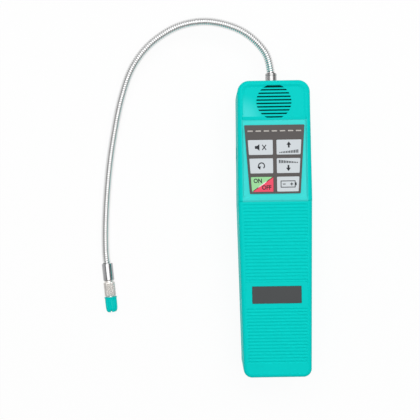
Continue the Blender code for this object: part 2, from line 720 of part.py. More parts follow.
def plate_outline(grow):
    """The dark plate's outline, grown by a gap."""
    half, height = PLATE_LENGTH / 2 + grow, PLATE_HEIGHT / 2 + grow
    return rounded(rectangle(half, PLATE_Y - height, PLATE_Y + height), PLATE_CORNER + grow, 1)


def screw_places():
    """Where the four housing screws stand, upper pair first."""
    return [(x, y) for y in (UPPER_SCREW_Y, LOWER_SCREW_Y) for x in (-SCREW_X, SCREW_X)]


def screw_end():
    """How high the housing screws reach."""
    return SCREW_HEAD_Z + SCREW_HEAD_HEIGHT + SCREW_LENGTH


def board_screw_end():
    """How high the board's screws reach."""
    return BOARD_Z - SEAM + BOARD_SCREW_LENGTH


def build_rear_housing(plastic):
    """The rear shell with the battery bay, the rails of its door, screw posts, holster hole and cradle."""
    rear = add_object("rear_housing", housing_solid(rear_levels()), plastic, crease=28)
    half = BAY_HALF_WIDTH + BAY_WALL
    foot = BAY_BOTTOM_Y - BAY_WALL
    rails = rectangle(RAIL_HALF_WIDTH, foot, DOOR_TOP_Y + 2 * BAY_WALL)
    combine(rear, slab(rails, DOOR_FLANGE_Z, RAIL_TOP_Z), "UNION")
    bay = rectangle(half, foot, BAY_TOP_Y + BAY_WALL)
    combine(rear, slab(bay, DOOR_FLANGE_Z, BAY_ROOF_Z + BAY_WALL), "UNION")
    posts = bmesh.new()
    levels = [(POST_BOSS_RADIUS, MM), (POST_BOSS_RADIUS, POST_BOSS_Z),
              (POST_RADIUS, POST_BOSS_Z + SMALL_EDGE), (POST_RADIUS, REAR_TOP_Z)]
    for x, y in screw_places():
        turned(levels, POST_SIDES, (x, y, 0), into=posts)
    cradle = rectangle(CRADLE_HALF_WIDTH, cradle_front() - CRADLE_THICKNESS, cradle_front())
    slab(cradle, MM, REAR_TOP_Z, into=posts)
    combine(rear, posts, "UNION")
    combine(rear, block((-BAY_HALF_WIDTH, BAY_BOTTOM_Y, -REACH), (BAY_HALF_WIDTH, BAY_TOP_Y, BAY_ROOF_Z)))
    combine(rear, door_solid(SEAM))
    bores = bmesh.new()
    wide, narrow = SCREW_HEAD_RADIUS + SEAM, SCREW_SHANK_RADIUS + SEAM
    seat = SCREW_HEAD_Z + SCREW_HEAD_HEIGHT + SEAM
    for x, y in screw_places():
        turned([(wide, -MM), (wide, seat), (narrow, seat), (narrow, REAR_TOP_Z + MM)], POST_SIDES, (x, y, 0),
               into=bores)
    combine(rear, bores)
    combine(rear, exit_tool())
    radius = HOLSTER_BORE + HOLSTER_WALL + SEAM
    levels = [(radius, -SHOULDER_HALF_WIDTH - REACH), (radius, REACH - SHOULDER_HALF_WIDTH)]
    combine(rear, turned(levels, 16, (0, HOLSTER_Y, HOLSTER_Z), "X"))
    return rear


def door_solid(grow):
    """The door's plate with a flange down each side, or the slot that clears it all round by a gap."""
    half = DOOR_HALF_WIDTH + grow
    wide = half + DOOR_FLANGE
    step, top = DOOR_FLANGE_Z - grow, DOOR_THICKNESS + grow
    profile = [(-half, -MM), (half, -MM), (half, step), (wide, step), (wide, top), (-wide, top),
               (-wide, step), (-half, step)]
    return ring_solid([[(x, y, z) for x, z in profile] for y in (-TOP_Y - REACH, DOOR_TOP_Y + grow)])


def cradle_front():
    """The face of the rib inside the head that the ferrule's flange bears on."""
    return TOP_Y - WALL - 2 * SEAM - FERRULE_FLANGE_WIDTH


def build_door(plastic):
    """The battery door: a plate with a sliding flange down each side, trimmed to the housing's foot."""
    middle = (0, DOOR_TOP_Y - DOOR_LENGTH / 2, 0)
    door = add_object("battery_door", door_solid(0), plastic, origin=middle, crease=28)
    combine(door, housing_solid(rear_outside()), "INTERSECT")
    grips = bmesh.new()
    half, mouth = DOOR_GRIP_WIDTH / 2, -DOOR_GRIP_MOUTH
    for i in range(DOOR_GRIP_COUNT):
        y = DOOR_TOP_Y - DOOR_GRIP_START - i * DOOR_GRIP_PITCH
        low, high = y - half, y + half
        profile = [(y, DOOR_GRIP_DEPTH), (low, mouth), (low, -MM), (high, -MM), (high, mouth)]
        bar(profile, DOOR_GRIP_LENGTH / 2, into=grips)
    combine(door, grips)
    return door


def build_cells(steel, sleeve):
    """Two round cells in line, positive nubs towards the head."""
    for i, name in enumerate(("lower_cell", "upper_cell")):
        y = FIRST_CELL_Y + i * (CELL_LENGTH + SEAM)
        top = y + CELL_LENGTH - CELL_NUB_LENGTH
        levels = [(CELL_RADIUS - CELL_EDGE, y), (CELL_RADIUS, y + CELL_EDGE), (CELL_RADIUS, top - CELL_EDGE),
                  (CELL_RADIUS - CELL_EDGE, top), (CELL_NUB_RADIUS, top), (CELL_NUB_RADIUS, y + CELL_LENGTH)]
        add_object(name, turned(levels, 20, (0, 0, CELL_Z), "Y"), sleeve, crease=40)
    nub_y = BAY_TOP_Y - SEAM - CONTACT_THICKNESS
    for name, y in (("spring_plate", BAY_BOTTOM_Y + SEAM), ("nub_contact", nub_y)):
        low = (-CONTACT_HALF, y, CELL_Z - CONTACT_HALF)
        high = (CONTACT_HALF, y + CONTACT_THICKNESS, CELL_Z + CONTACT_HALF)
        add_object(name, block(low, high), steel)
    turns = [i / SPRING_TURN_STEPS for i in range(SPRING_TURNS * SPRING_TURN_STEPS + 1)]
    route = []
    for turn in turns:
        share = turn / SPRING_TURNS
        radius = SPRING_BASE_RADIUS + share * (SPRING_TIP_RADIUS - SPRING_BASE_RADIUS)
        y = SPRING_Y + SPRING_WIRE + share * (SPRING_LENGTH - 2 * SPRING_WIRE)
        angle = 2 * math.pi * turn
        route.append(Vector((radius * math.cos(angle), y, CELL_Z + radius * math.sin(angle))))
    add_object("battery_spring", swept(route, [SPRING_WIRE] * len(route), 5), steel, crease=60)


def build_screws(steel):
    """Four screws that hold the shells together and two that hold the board."""
    head = SCREW_HEAD_HEIGHT
    places = [(f"housing_screw_{i + 1}", (x, y, SCREW_HEAD_Z), SCREW_LENGTH)
              for i, (x, y) in enumerate(screw_places())]
    places += [(f"board_screw_{i + 1}", (0, y, BOARD_Z - SEAM - head), BOARD_SCREW_LENGTH)
               for i, y in enumerate(BOARD_SCREW_YS)]
    for name, place, length in places:
        levels = [(SCREW_HEAD_RADIUS - SMALL_EDGE, 0), (SCREW_HEAD_RADIUS, SMALL_EDGE),
                  (SCREW_HEAD_RADIUS, head), (SCREW_SHANK_RADIUS, head),
                  (SCREW_SHANK_RADIUS, head + length - MM), (SCREW_TIP_RADIUS, head + length)]
        add_object(name, turned(levels, SCREW_SIDES, place), steel, origin=place, crease=40)


def build_keypad(paints):
    """The film with its domes, the overlay with its windows, the keys and the signal lights."""
    film = slab(pad_outline(WELL_MARGIN + SEAM), WELL_Z + FILM_GAP, WELL_Z + FILM_GAP + FILM_THICKNESS)
    add_object("keypad_film", film, paints["film"])
    overlay = add_object("keypad_overlay", slab(pad_outline(0), PAD_Z, PAD_TOP_Z), paints["overlay"])
    windows = bmesh.new()
    low, high = PAD_Z - MM, PAD_TOP_Z + MM
    for name, row, side in key_places():
        slab(key_outline(row, side, FILM_GAP), low, high, into=windows)
    long, wide = LIGHT_LENGTH / 2 + FILM_GAP, LIGHT_WIDTH / 2 + FILM_GAP
    for x in light_xs():
        block((x - long, LIGHT_Y - wide, low), (x + long, LIGHT_Y + wide, high), into=windows)
    combine(overlay, windows)
    for name, row, side in key_places():
        middle = key_middle(row, side)
        faces = [(f"key_{name}", key_outline(row, side), paints["key"])]
        if name == "power":
            names = ("key_power", "key_power_off")
            faces = zip(names, split_outlines(row, side), (paints["green"], paints["red"]))
        for node, outline, paint in faces:
            add_object(node, slab(outline, KEY_TOP_Z - KEY_THICKNESS, KEY_TOP_Z), paint, origin=middle)
        dome = [(DOME_RADIUS, DOME_Z), (DOME_RADIUS, DOME_Z + DOME_SHEET),
                (DOME_RADIUS * DOME_SHOULDER, DOME_TOP_Z - DOME_CROWN_RISE),
                (DOME_RADIUS * DOME_CROWN, DOME_TOP_Z)]
        add_object(f"dome_{name}", turned(dome, 10, (middle.x, middle.y, 0)), paints["steel"], crease=40)
    for i, x in enumerate(light_xs()):
        low = (x - LIGHT_LENGTH / 2, LIGHT_Y - LIGHT_WIDTH / 2, DOME_Z)
        high = (x + LIGHT_LENGTH / 2, LIGHT_Y + LIGHT_WIDTH / 2, PAD_TOP_Z)
        add_object(f"signal_light_{i + 1}", block(low, high), paints["light"])


def build_label(paint):
    """The dark plate on the handle, left bare."""
    low = HANDLE_Z - FIELD_DEPTH - PLATE_SINK
    add_object("label_plate", slab(plate_outline(0), low, low + PLATE_THICKNESS), paint)


def build_board(paints):
    """The circuit board with its chip, transformer, capacitor and the socket of the probe's cable."""
    outline = rounded(rectangle(BOARD_HALF_WIDTH, BOARD_BOTTOM_Y, BOARD_TOP_Y), BOARD_CORNER)
    top = BOARD_Z + BOARD_THICKNESS
    board = add_object("circuit_board", slab(outline, BOARD_Z, top), paints["board"])
    holes = bmesh.new()
    radius = SCREW_SHANK_RADIUS + SEAM
    for y in BOARD_SCREW_YS:
        turned([(radius, BOARD_Z - MM), (radius, top + MM)], BORE_SIDES, (0, y, 0), into=holes)
    combine(board, holes)
    over, under = top + SEAM, BOARD_Z - SEAM
    chip = rectangle(CHIP_SIDE / 2, CHIP_Y - CHIP_SIDE / 2, CHIP_Y + CHIP_SIDE / 2)
    add_object("processor_chip", slab(chip, over, over + CHIP_HEIGHT), paints["black"])
    w, h, t = CORE_SIZE
    x, y = CORE_X, CORE_Y
    core = block((x - w / 2, y - h / 2, under - t), (x + w / 2, y + h / 2, under))
    core = add_object("transformer", core, paints["core"])
    high, low = [under - t * share for share in WINDOW_LEVELS]
    combine(core, block((x - w, y - h / 4, low), (x + w, y + h / 4, high)))
    reach = w / 2 + WINDING_PROUD
    winding = [(WINDING_RADIUS, x - reach), (WINDING_RADIUS, x + reach)]
    combine(core, turned(winding, 16, (0, y, under - t / 2), "X"), "UNION")
    low = under - CAN_HEIGHT
    levels = [(CAN_RADIUS - SMALL_EDGE, low), (CAN_RADIUS, low + SMALL_EDGE), (CAN_RADIUS, under)]
    add_object("capacitor", turned(levels, 20, (CAN_X, CORE_Y, 0)), paints["can"], crease=40)
    w, h, t = SOCKET_SIZE
    x, y = SOCKET_X, SOCKET_Y
    socket = block((x - w / 2, y - h / 2, under - t), (x + w / 2, y + h / 2, under))
    add_object("cable_socket", socket, paints["white"])


def build_speaker(paints):
    """The speaker behind the grille: a pressed basket, its cone and the magnet."""
    roof = BODY_DEPTH - DISH_DEPTH - WELL_ROOF - SEAM
    place = (0, SPEAKER_Y, 0)
    outer, inner = SPEAKER_RADIUS, SPEAKER_RADIUS - SPEAKER_RIM
    back = roof - SPEAKER_DEPTH
    inside = inner - SPEAKER_SHEET
    floor = back + SPEAKER_SHEET
    levels = [(outer, roof), (outer, roof - SPEAKER_FLANGE), (inner, roof - SPEAKER_FLANGE),
              (SPEAKER_BACK_RADIUS, back), (SPEAKER_HOLE_RADIUS, back), (SPEAKER_HOLE_RADIUS, floor),
              (SPEAKER_BACK_RADIUS - SPEAKER_SHEET, floor), (inside, roof)]
    basket = turned(levels, SPEAKER_SIDES, place, loop=True)
    add_object("speaker_basket", basket, paints["black"], crease=40)
    edge = inside - CONE_GAP
    shallow, deep = roof - CONE_DROP, floor + SEAM
    levels = [(CONE_HUB_RADIUS, deep), (edge - CONE_RIM, shallow), (edge, shallow),
              (edge, shallow + CONE_THICKNESS), (CONE_HUB_RADIUS, deep + CONE_THICKNESS)]
    add_object("speaker_cone", turned(levels, SPEAKER_SIDES, place), paints["cone"], crease=40)
    top = back - SEAM
    low = top - MAGNET_HEIGHT
    levels = [(MAGNET_RADIUS - SMALL_EDGE, low), (MAGNET_RADIUS, low + SMALL_EDGE), (MAGNET_RADIUS, top)]
    add_object("speaker_magnet", turned(levels, SPEAKER_SIDES, place), paints["steel"], crease=40)


def build_holster(plastic):
    """The cup in the left side that the probe's tip is pushed into."""
    bore, outer = HOLSTER_BORE, HOLSTER_BORE + HOLSTER_WALL
    mouth = -half_width(HOLSTER_Y) + HOLSTER_INSET
    end = mouth + HOLSTER_DEPTH
    levels = [(bore, end - HOLSTER_WALL), (bore, mouth + HOLSTER_FLARE), (bore + HOLSTER_FLARE, mouth),
              (outer, mouth), (outer, end)]
    add_object("holster_cup", turned(levels, 16, (0, HOLSTER_Y, HOLSTER_Z), "X"), plastic, crease=40)


def tip_frame_matrix():
    """The place and turn of the probe's tip, whose own +Y runs out to its end."""
    return Matrix.Translation((TIP_X, TIP_Y, TIP_Z)) @ Matrix.Rotation(math.radians(180 + TIP_LEAN), 4, "Z")


def bend_place(bend):
    """The place of one of the neck's bends."""
    aside, ahead, share = bend
    return Vector((aside * MM, NECK_END_Y + ahead * MM, TIP_Z + share * (EXIT_Z - TIP_Z)))


def neck_route():
    """The neck's middle line from inside its ferrule to inside the sleeve at the tip."""
    start = Vector((0, NECK_END_Y - NECK_IN_FERRULE, EXIT_Z))
    out = Vector((0, NECK_END_Y, EXIT_Z))
    bends = [bend_place(bend) for bend in (SWING_BEND, *ARCH_BENDS, LIFT_BEND, *HANGING_BENDS)]
    tip = tip_frame_matrix()
    ends = [tip @ Vector((0, -TIP_RUN_IN, 0)), tip @ Vector((0, NECK_IN_SLEEVE, 0))]
    return smooth_route([start, out] + bends + ends, NECK_PITCH / 2)


def build_neck(steel, ferrule_steel):
    """The gooseneck's turns, bent into its arc, and the ferrule that the head grips it by."""
    root = add_empty("neck_swing_axis", bend_place(SWING_BEND))
    route = neck_route()
    radii = [NECK_RADIUS - (NECK_GROOVE if i % 2 else 0) for i in range(len(route))]
    mesh = swept([point - bend_place(SWING_BEND) for point in route], radii, NECK_SIDES)
    add_object("gooseneck", mesh, steel, parent=root, crease=80)
    seat = cradle_front() + SEAM
    inside = TOP_Y - FERRULE_TAIL
    collar = seat + FERRULE_FLANGE_WIDTH
    levels = [(FERRULE_RADIUS, inside), (FERRULE_RADIUS, seat), (FERRULE_FLANGE, seat),
              (FERRULE_FLANGE, collar), (FERRULE_RADIUS, collar), (FERRULE_RADIUS, NECK_END_Y - SMALL_EDGE),
              (FERRULE_RADIUS - SLEEVE_EDGE, NECK_END_Y), (FERRULE_BORE, NECK_END_Y), (FERRULE_BORE, inside)]
    add_object("neck_ferrule", turned(levels, 20, (0, 0, EXIT_Z), "Y", loop=True), ferrule_steel, crease=40)
    return root


def knurled(levels, teeth, depth, bore):
    """A turned collar with teeth along its outside, from levels of (radius, distance, tooth's share)."""
    rings = []
    for radius, along, share in levels:
        ring = []
        for k in range(2 * teeth):
            a = math.pi * k / teeth
            reach = radius - (depth * share if k % 2 else 0)
            ring.append((reach * math.cos(a), along, reach * math.sin(a)))
        rings.append(ring)
    for radius, along in bore:
        rings.append([(radius * math.cos(math.pi * k / teeth), along, radius * math.sin(math.pi * k / teeth))
                      for k in range(2 * teeth)])
    return ring_solid(rings, loop=True)


def build_tip(root, paints):
    """The turned sleeve, the knurled barrel, the sensor in it and the cap over it."""
    lift_place = bend_place(LIFT_BEND)
    lift = add_empty("neck_lift_axis", lift_place - bend_place(SWING_BEND), root)
    place = Vector((TIP_X, TIP_Y, TIP_Z)) - lift_place
    tip = add_empty("tip_axis", place, lift, math.radians(180 + TIP_LEAN))
    socket = SPIGOT_RADIUS + SEAM
    stop = NECK_IN_SLEEVE + SEAM
    foot = SLEEVE_LENGTH - SPIGOT_LENGTH - SEAM
    levels = [(SLEEVE_RADIUS - SLEEVE_EDGE, 0), (SLEEVE_RADIUS, SMALL_EDGE),
              (SLEEVE_RADIUS, SLEEVE_LENGTH - SMALL_EDGE), (SLEEVE_RADIUS - SEAM, SLEEVE_LENGTH),
              (socket, SLEEVE_LENGTH), (socket, foot), (SLEEVE_HOLE_RADIUS, foot), (SLEEVE_HOLE_RADIUS, stop),
              (FERRULE_BORE, stop), (FERRULE_BORE, 0)]
    add_object("tip_sleeve", turned(levels, 20, axis="Y", loop=True), paints["chrome"], tip, crease=40)

    start = SLEEVE_LENGTH + SEAM
    end = start + BARREL_LENGTH - SEAM
    nose = end + BARREL_NOSE_LENGTH
    spigot = start - SPIGOT_LENGTH
    core = SENSOR_RADIUS + SEAM
    waist = BARREL_RADIUS - BARREL_NECK
    step = start + BARREL_NECK_LENGTH
    outside = [(waist, start, 0), (waist, step, 0), (BARREL_RADIUS - BARREL_EDGE / 2, step + SEAM, 0),
               (BARREL_RADIUS, start + KNURL_START, 1), (BARREL_RADIUS, end - BARREL_EDGE, 1),
               (BARREL_RADIUS - BARREL_EDGE, end, 0)]
    inside = [(BARREL_NOSE_RADIUS, end), (BARREL_NOSE_RADIUS, nose), (core, nose), (core, spigot),
              (SPIGOT_RADIUS, spigot), (SPIGOT_RADIUS, start)]
    barrel = knurled(outside, BARREL_TEETH, KNURL_DEPTH, inside)
    add_object("sensor_barrel", barrel, paints["nickel"], tip, crease=40)

    front = end + SENSOR_OUT
    levels = [(SENSOR_RADIUS, spigot + SEAM), (SENSOR_RADIUS, nose + SMALL_EDGE),
              (SENSOR_CAP_RADIUS, nose + MM), (SENSOR_CAP_RADIUS, front - SENSOR_EDGE),
              (SENSOR_CAP_RADIUS - SENSOR_EDGE, front)]
    add_object("sensor_element", turned(levels, 16, axis="Y"), paints["nickel"], tip, crease=40)
    build_cap(tip, end + SEAM, paints["cap"])


def build_cap(tip, start, plastic):
    """The cap over the sensor: a flared lip, flutes along its side and a notched mouth."""
    end = start + CAP_LENGTH
    taper = end - CAP_TAPER_LENGTH
    lip = start + CAP_LIP_LENGTH
    flare = lip + CAP_FLARE_LENGTH
    bore = BARREL_NOSE_RADIUS + SEAM
    mouth = CAP_MOUTH_RADIUS - CAP_WALL
    bulge = (CAP_RADIUS + CAP_MOUTH_RADIUS) / 2 + CAP_BULGE
    outside = [(CAP_LIP_RADIUS, start, 0), (CAP_LIP_RADIUS, lip, 0), (CAP_RADIUS, flare, 0.2),
               (CAP_RADIUS, flare + CAP_RUN_OUT, 1), (CAP_RADIUS, taper, 1), (bulge, (taper + end) / 2, 0.7),
               (CAP_MOUTH_RADIUS, end, 0)]
    inside = [(mouth, end), (bore, taper - MM), (bore, start)]
    mesh = knurled(outside, CAP_FLUTE_COUNT, CAP_FLUTE_DEPTH, inside)
    cap = add_object("tip_protector", mesh, plastic, tip, (0, start, 0), crease=30)
    notches = bmesh.new()
    half = CAP_NOTCH_WIDTH / 2
    for k in range(CAP_NOTCH_PAIRS):
        turn = tip_frame_matrix() @ Matrix.Rotation(math.pi * k / CAP_NOTCH_PAIRS, 4, "Y")
        rings = []
        for y in (end - CAP_NOTCH_DEPTH, end + MM):
            corners = rectangle(half, -2 * CAP_RADIUS, 2 * CAP_RADIUS)
            rings.append([turn @ Vector((x, y, z)) for x, z in corners])
        ring_solid(rings, into=notches)
    combine(cap, notches)


def build_cable(paint):
    """The probe's cable, which the housing holds all the way from the neck to its socket."""
    start = Vector((0, NECK_END_Y - NECK_IN_FERRULE - SEAM, EXIT_Z))
    end = Vector((SOCKET_X, SOCKET_Y + SOCKET_SIZE[1] / 2 + SEAM, BOARD_Z - SEAM - SOCKET_SIZE[2] / 2))
    straight = Vector((0, CABLE_STRAIGHT, 0))
    route = smooth_route([start, start - straight, end + straight, end], CABLE_STEP)
    add_object("probe_cable", swept(route, [CABLE_RADIUS] * len(route), 8), paint, crease=60)


def main():
    """Builds the detector."""
    clear_scene()
    teal = finish("teal_plastic", (0.001, 0.62, 0.57), 0.42)
    steel = finish("steel", (0.6, 0.6, 0.6), 0.3, 1.0)
    paints = {
        "film": finish("film", (0.5, 0.5, 0.48), 0.5),
        "overlay": finish("overlay_grey", (0.12, 0.11, 0.11), 0.5),
        "key": finish("key_grey", (0.68, 0.73, 0.76), 0.45),
        "green": finish("on_green", (0.35, 0.72, 0.35), 0.45),
        "red": finish("off_red", (0.87, 0.1, 0.17), 0.45),
        "light": finish("light_bar", (0.6, 0.58, 0.55), 0.4),
        "steel": steel,
        "board": finish("board_green", (0.02, 0.18, 0.06), 0.5),
        "black": finish("black_plastic", (0.02, 0.02, 0.02), 0.5),
        "core": finish("transformer_core", (0.25, 0.16, 0.05), 0.6),
        "can": finish("capacitor_sleeve", (0.02, 0.04, 0.2), 0.4),
        "white": finish("white_plastic", (0.8, 0.8, 0.78), 0.5),
        "cone": finish("speaker_cone", (0.03, 0.03, 0.03), 0.8),
        "chrome": finish("polished_steel", (0.75, 0.75, 0.76), 0.12, 1.0),
        "nickel": finish("nickel_plate", (0.62, 0.6, 0.57), 0.3, 1.0),
        "cap": finish("cap_plastic", (0.003, 0.55, 0.52), 0.35),
    }
    build_front_housing(teal)
    build_rear_housing(teal)
    build_door(teal)
    build_cells(steel, finish("cell_sleeve", (0.1, 0.1, 0.11), 0.4))
    build_screws(steel)
    build_keypad(paints)
    build_label(finish("plate_grey", (0.08, 0.085, 0.09), 0.45))
    build_board(paints)
    build_speaker(paints)
    build_holster(finish("holster_black", (0.015, 0.015, 0.015), 0.5))
    root = build_neck(finish("gooseneck_steel", (0.7, 0.7, 0.7), 0.2, 1.0), paints["chrome"])
    build_tip(root, paints)
    build_cable(paints["black"])


main()
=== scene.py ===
"""The looks of a handheld refrigerant leak detector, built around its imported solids.

The detector lies on its flat back. +Z points out of the front face, +Y towards the probe and +X to
the right of someone who looks at the keys. Lengths are metres.
"""

import logging
import math
from collections.abc import Callable, Iterator, Sequence
from contextlib import contextmanager
from dataclasses import dataclass, field
from enum import Enum

import bmesh
import bpy
from mathutils import Matrix, Vector


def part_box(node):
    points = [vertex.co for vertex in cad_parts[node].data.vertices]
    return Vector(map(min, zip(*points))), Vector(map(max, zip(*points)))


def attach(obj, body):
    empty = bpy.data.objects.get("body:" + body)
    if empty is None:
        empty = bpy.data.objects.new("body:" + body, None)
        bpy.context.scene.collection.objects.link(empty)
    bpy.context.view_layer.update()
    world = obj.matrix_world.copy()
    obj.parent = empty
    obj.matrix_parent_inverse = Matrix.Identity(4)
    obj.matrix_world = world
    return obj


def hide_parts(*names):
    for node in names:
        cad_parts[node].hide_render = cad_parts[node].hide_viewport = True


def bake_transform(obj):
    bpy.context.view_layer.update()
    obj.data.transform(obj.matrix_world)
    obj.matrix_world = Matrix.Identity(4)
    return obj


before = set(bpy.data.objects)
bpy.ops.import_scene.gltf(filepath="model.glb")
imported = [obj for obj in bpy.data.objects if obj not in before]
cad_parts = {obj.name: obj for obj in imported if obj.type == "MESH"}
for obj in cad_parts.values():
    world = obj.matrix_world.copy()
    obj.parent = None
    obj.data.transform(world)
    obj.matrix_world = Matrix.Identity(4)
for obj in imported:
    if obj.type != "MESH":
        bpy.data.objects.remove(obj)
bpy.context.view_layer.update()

MM = 0.001
NEAR = 0.02 * MM  # how close to a plane a vertex counts as lying on it
LOG = logging.getLogger("leak_detector")

Point = tuple[float, float]
Place = tuple[float, float, float]
Colour = tuple[float, float, float]
Piece = bpy.types.Object
Material = bpy.types.Material


def linear(red: int, green: int, blue: int) -> Colour:
    """Turns a colour as a screen shows it, 0 to 255, into a linear one.

    Args:
        red: Red, 0 to 255.
        green: Green, 0 to 255.
        blue: Blue, 0 to 255.

    Returns:
        The same colour in linear parts from 0 to 1.
    """
    parts = [value / 255 for value in (red, green, blue)]
    return tuple(p / 12.92 if p <= 0.04045 else ((p + 0.055) / 1.055) ** 2.4 for p in parts)


class Bench:
    """Models pieces with Blender's operators."""

    @staticmethod
    def take(*pieces: Piece) -> None:
        """Makes these objects the only selected ones, and the first one active."""
        bpy.ops.object.select_all(action="DESELECT")
        for piece in pieces:
            piece.select_set(True)
        bpy.context.view_layer.objects.active = pieces[0]

    @contextmanager
    def editing(self, piece: Piece, mode: str = "VERT") -> Iterator[bmesh.types.BMesh]:
        """Opens a piece in edit mode with nothing selected.

        Args:
            piece: The object to edit.
            mode: VERT, EDGE or FACE.

        Returns:
            The edit mesh, whose elements pick() selects.
        """
        self.take(piece)
        bpy.ops.object.mode_set(mode="EDIT")
        bpy.ops.mesh.select_mode(type=mode)
        bpy.ops.mesh.select_all(action="DESELECT")
        try:
            yield bmesh.from_edit_mesh(piece.data)
        finally:
            bpy.ops.object.mode_set(mode="OBJECT")

    @staticmethod
    def pick(piece: Piece, test: Callable[[Vector], bool], kind: str = "verts") -> int:
        """Selects what lies where a test says, in an open edit mesh, and deselects the rest.

        Args:
            piece: The object that is being edited.
            test: Says whether a point is wanted. An edge or face is, when all its corners are.
            kind: verts, edges or faces.

        Returns:
            How many elements are selected.
        """
        bpy.ops.mesh.select_all(action="DESELECT")
        mesh = bmesh.from_edit_mesh(piece.data)
        count = 0
        for part in getattr(mesh, kind):
            corners = [part] if kind == "verts" else part.verts
            if all(test(corner.co) for corner in corners):
                part.select_set(True)
                count += 1
        mesh.select_flush_mode()
        bmesh.update_edit_mesh(piece.data)
        return count

    def settle(self, piece: Piece) -> Piece:
        """Moves a piece's place, turn and size into its mesh."""
        self.take(piece)
        bpy.ops.object.transform_apply(location=True, rotation=True, scale=True)
        return piece

    def move(self, piece: Piece, matrix: Matrix) -> Piece:
        """Puts a finished piece in its place, and the place into its mesh."""
        piece.matrix_world = matrix
        return self.settle(piece)

    def block(self, name: str, low: Sequence[float], high: Sequence[float]) -> Piece:
        """Adds a box between two corners.

        Args:
            name: The piece's name.
            low: Its lowest corner.
            high: Its highest corner.

        Returns:
            The box.
        """
        middle = [(a + b) / 2 for a, b in zip(low, high)]
        size = [b - a for a, b in zip(low, high)]
        bpy.ops.object.select_all(action="DESELECT")
        bpy.ops.mesh.primitive_cube_add(size=1, location=middle, scale=size)
        made = bpy.context.object
        made.name = name
        return self.settle(made)

    def bevel(self, piece: Piece, test: Callable[[Vector], bool], width: float, steps: int = 3) -> None:
        """Rounds the edges that lie where a test says.

        Args:
            piece: The object to round.
            test: Says whether an edge's two ends are wanted.
            width: How far the rounding reaches.
            steps: How many faces it has.
        """
        with self.editing(piece, "EDGE"):
            if self.pick(piece, test, "edges"):
                bpy.ops.mesh.bevel(offset=width, segments=steps, profile=0.5, affect="EDGES")

    def uprights(self, piece: Piece, test: Callable[[Vector], bool], width: float, steps: int) -> None:
        """Rounds a block's upright edges where a test says.

        Args:
            piece: The block.
            test: Says whether an edge is wanted, from its lower end.
            width: The corner's radius.
            steps: How many faces it has.
        """
        with self.editing(piece, "EDGE") as mesh:
            for edge in mesh.edges:
                a, b = (corner.co for corner in edge.verts)
                upright = abs(a.z - b.z) > 2 * max(abs(a.x - b.x), abs(a.y - b.y))
                if upright and test(a) and test(b):
                    edge.select_set(True)
            bmesh.update_edit_mesh(piece.data)
            bpy.ops.mesh.bevel(offset=width, segments=steps, profile=0.5, affect="EDGES")

    def plate(
        self,
        name: str,
        corners: Sequence[Point],
        low: float,
        high: float,
        radius: float = 0.0,
        rim: float = 0.0,
        steps: int = 5,
    ) -> Piece:
        """Models a flat plate: a plane pulled to its corners, rounded, drawn up and softened.

        Args:
            name: The piece's name.
            corners: Four corners, counter-clockwise from the lower left.
            low: The height of its underside.
            high: The height of its top.
            radius: The radius of its corners.
            rim: The rounding of its top edge.
            steps: How many faces a corner has.

        Returns:
            The plate.
        """
        bpy.ops.object.select_all(action="DESELECT")
        bpy.ops.mesh.primitive_plane_add(size=1)
        made = bpy.context.object
        made.name = name
        order = ((-1, -1), (1, -1), (1, 1), (-1, 1))
        for corner in made.data.vertices:
            side = (1 if corner.co.x > 0 else -1, 1 if corner.co.y > 0 else -1)
            corner.co = (*corners[order.index(side)], low)
        with self.editing(made):
            bpy.ops.mesh.select_all(action="SELECT")
            if radius:
                bpy.ops.mesh.bevel(offset=radius, segments=steps, affect="VERTICES")
                bpy.ops.mesh.select_all(action="SELECT")
            bpy.ops.mesh.extrude_region_move(TRANSFORM_OT_translate={"value": (0, 0, high - low)})
            bpy.ops.mesh.select_all(action="SELECT")
            bpy.ops.mesh.normals_make_consistent(inside=False)
        if rim:
            self.bevel(made, lambda p: p.z > high - NEAR, rim, 3)
        return made

    def tray(
        self,
        name: str,
        low_half: Point,
        high_half: Point,
        depth: float,
        over: float,
        radius: float,
        fillet: float,
    ) -> Piece:
        """Models the cutter of a shallow recess about the origin, with leaning walls and a round foot.

        Args:
            name: The piece's name.
            low_half: Half the floor's width and length.
            high_half: Half the mouth's width and length.
            depth: How deep the floor lies.
            over: How far the cutter stands over the mouth.
            radius: The radius of its upright corners.
            fillet: The rounding between floor and wall.

        Returns:
            The cutter, its mouth at height 0.
        """
        made = self.block(name, (-low_half[0], -low_half[1], -depth), (low_half[0], low_half[1], 0))
        if radius:
            self.uprights(made, lambda p: True, radius, 5)
        with self.editing(made):
            self.pick(made, lambda p: p.z > -NEAR)
            grow = (high_half[0] / low_half[0], high_half[1] / low_half[1], 1)
            bpy.ops.transform.resize(value=grow, center_override=(0, 0, 0))
        with self.editing(made, "FACE"):
            self.pick(made, lambda p: p.z > -NEAR, "faces")
            bpy.ops.mesh.extrude_region_move(TRANSFORM_OT_translate={"value": (0, 0, over)})
        if fillet:
            self.bevel(made, lambda p: p.z < -depth + NEAR, fillet, 3)
        return made

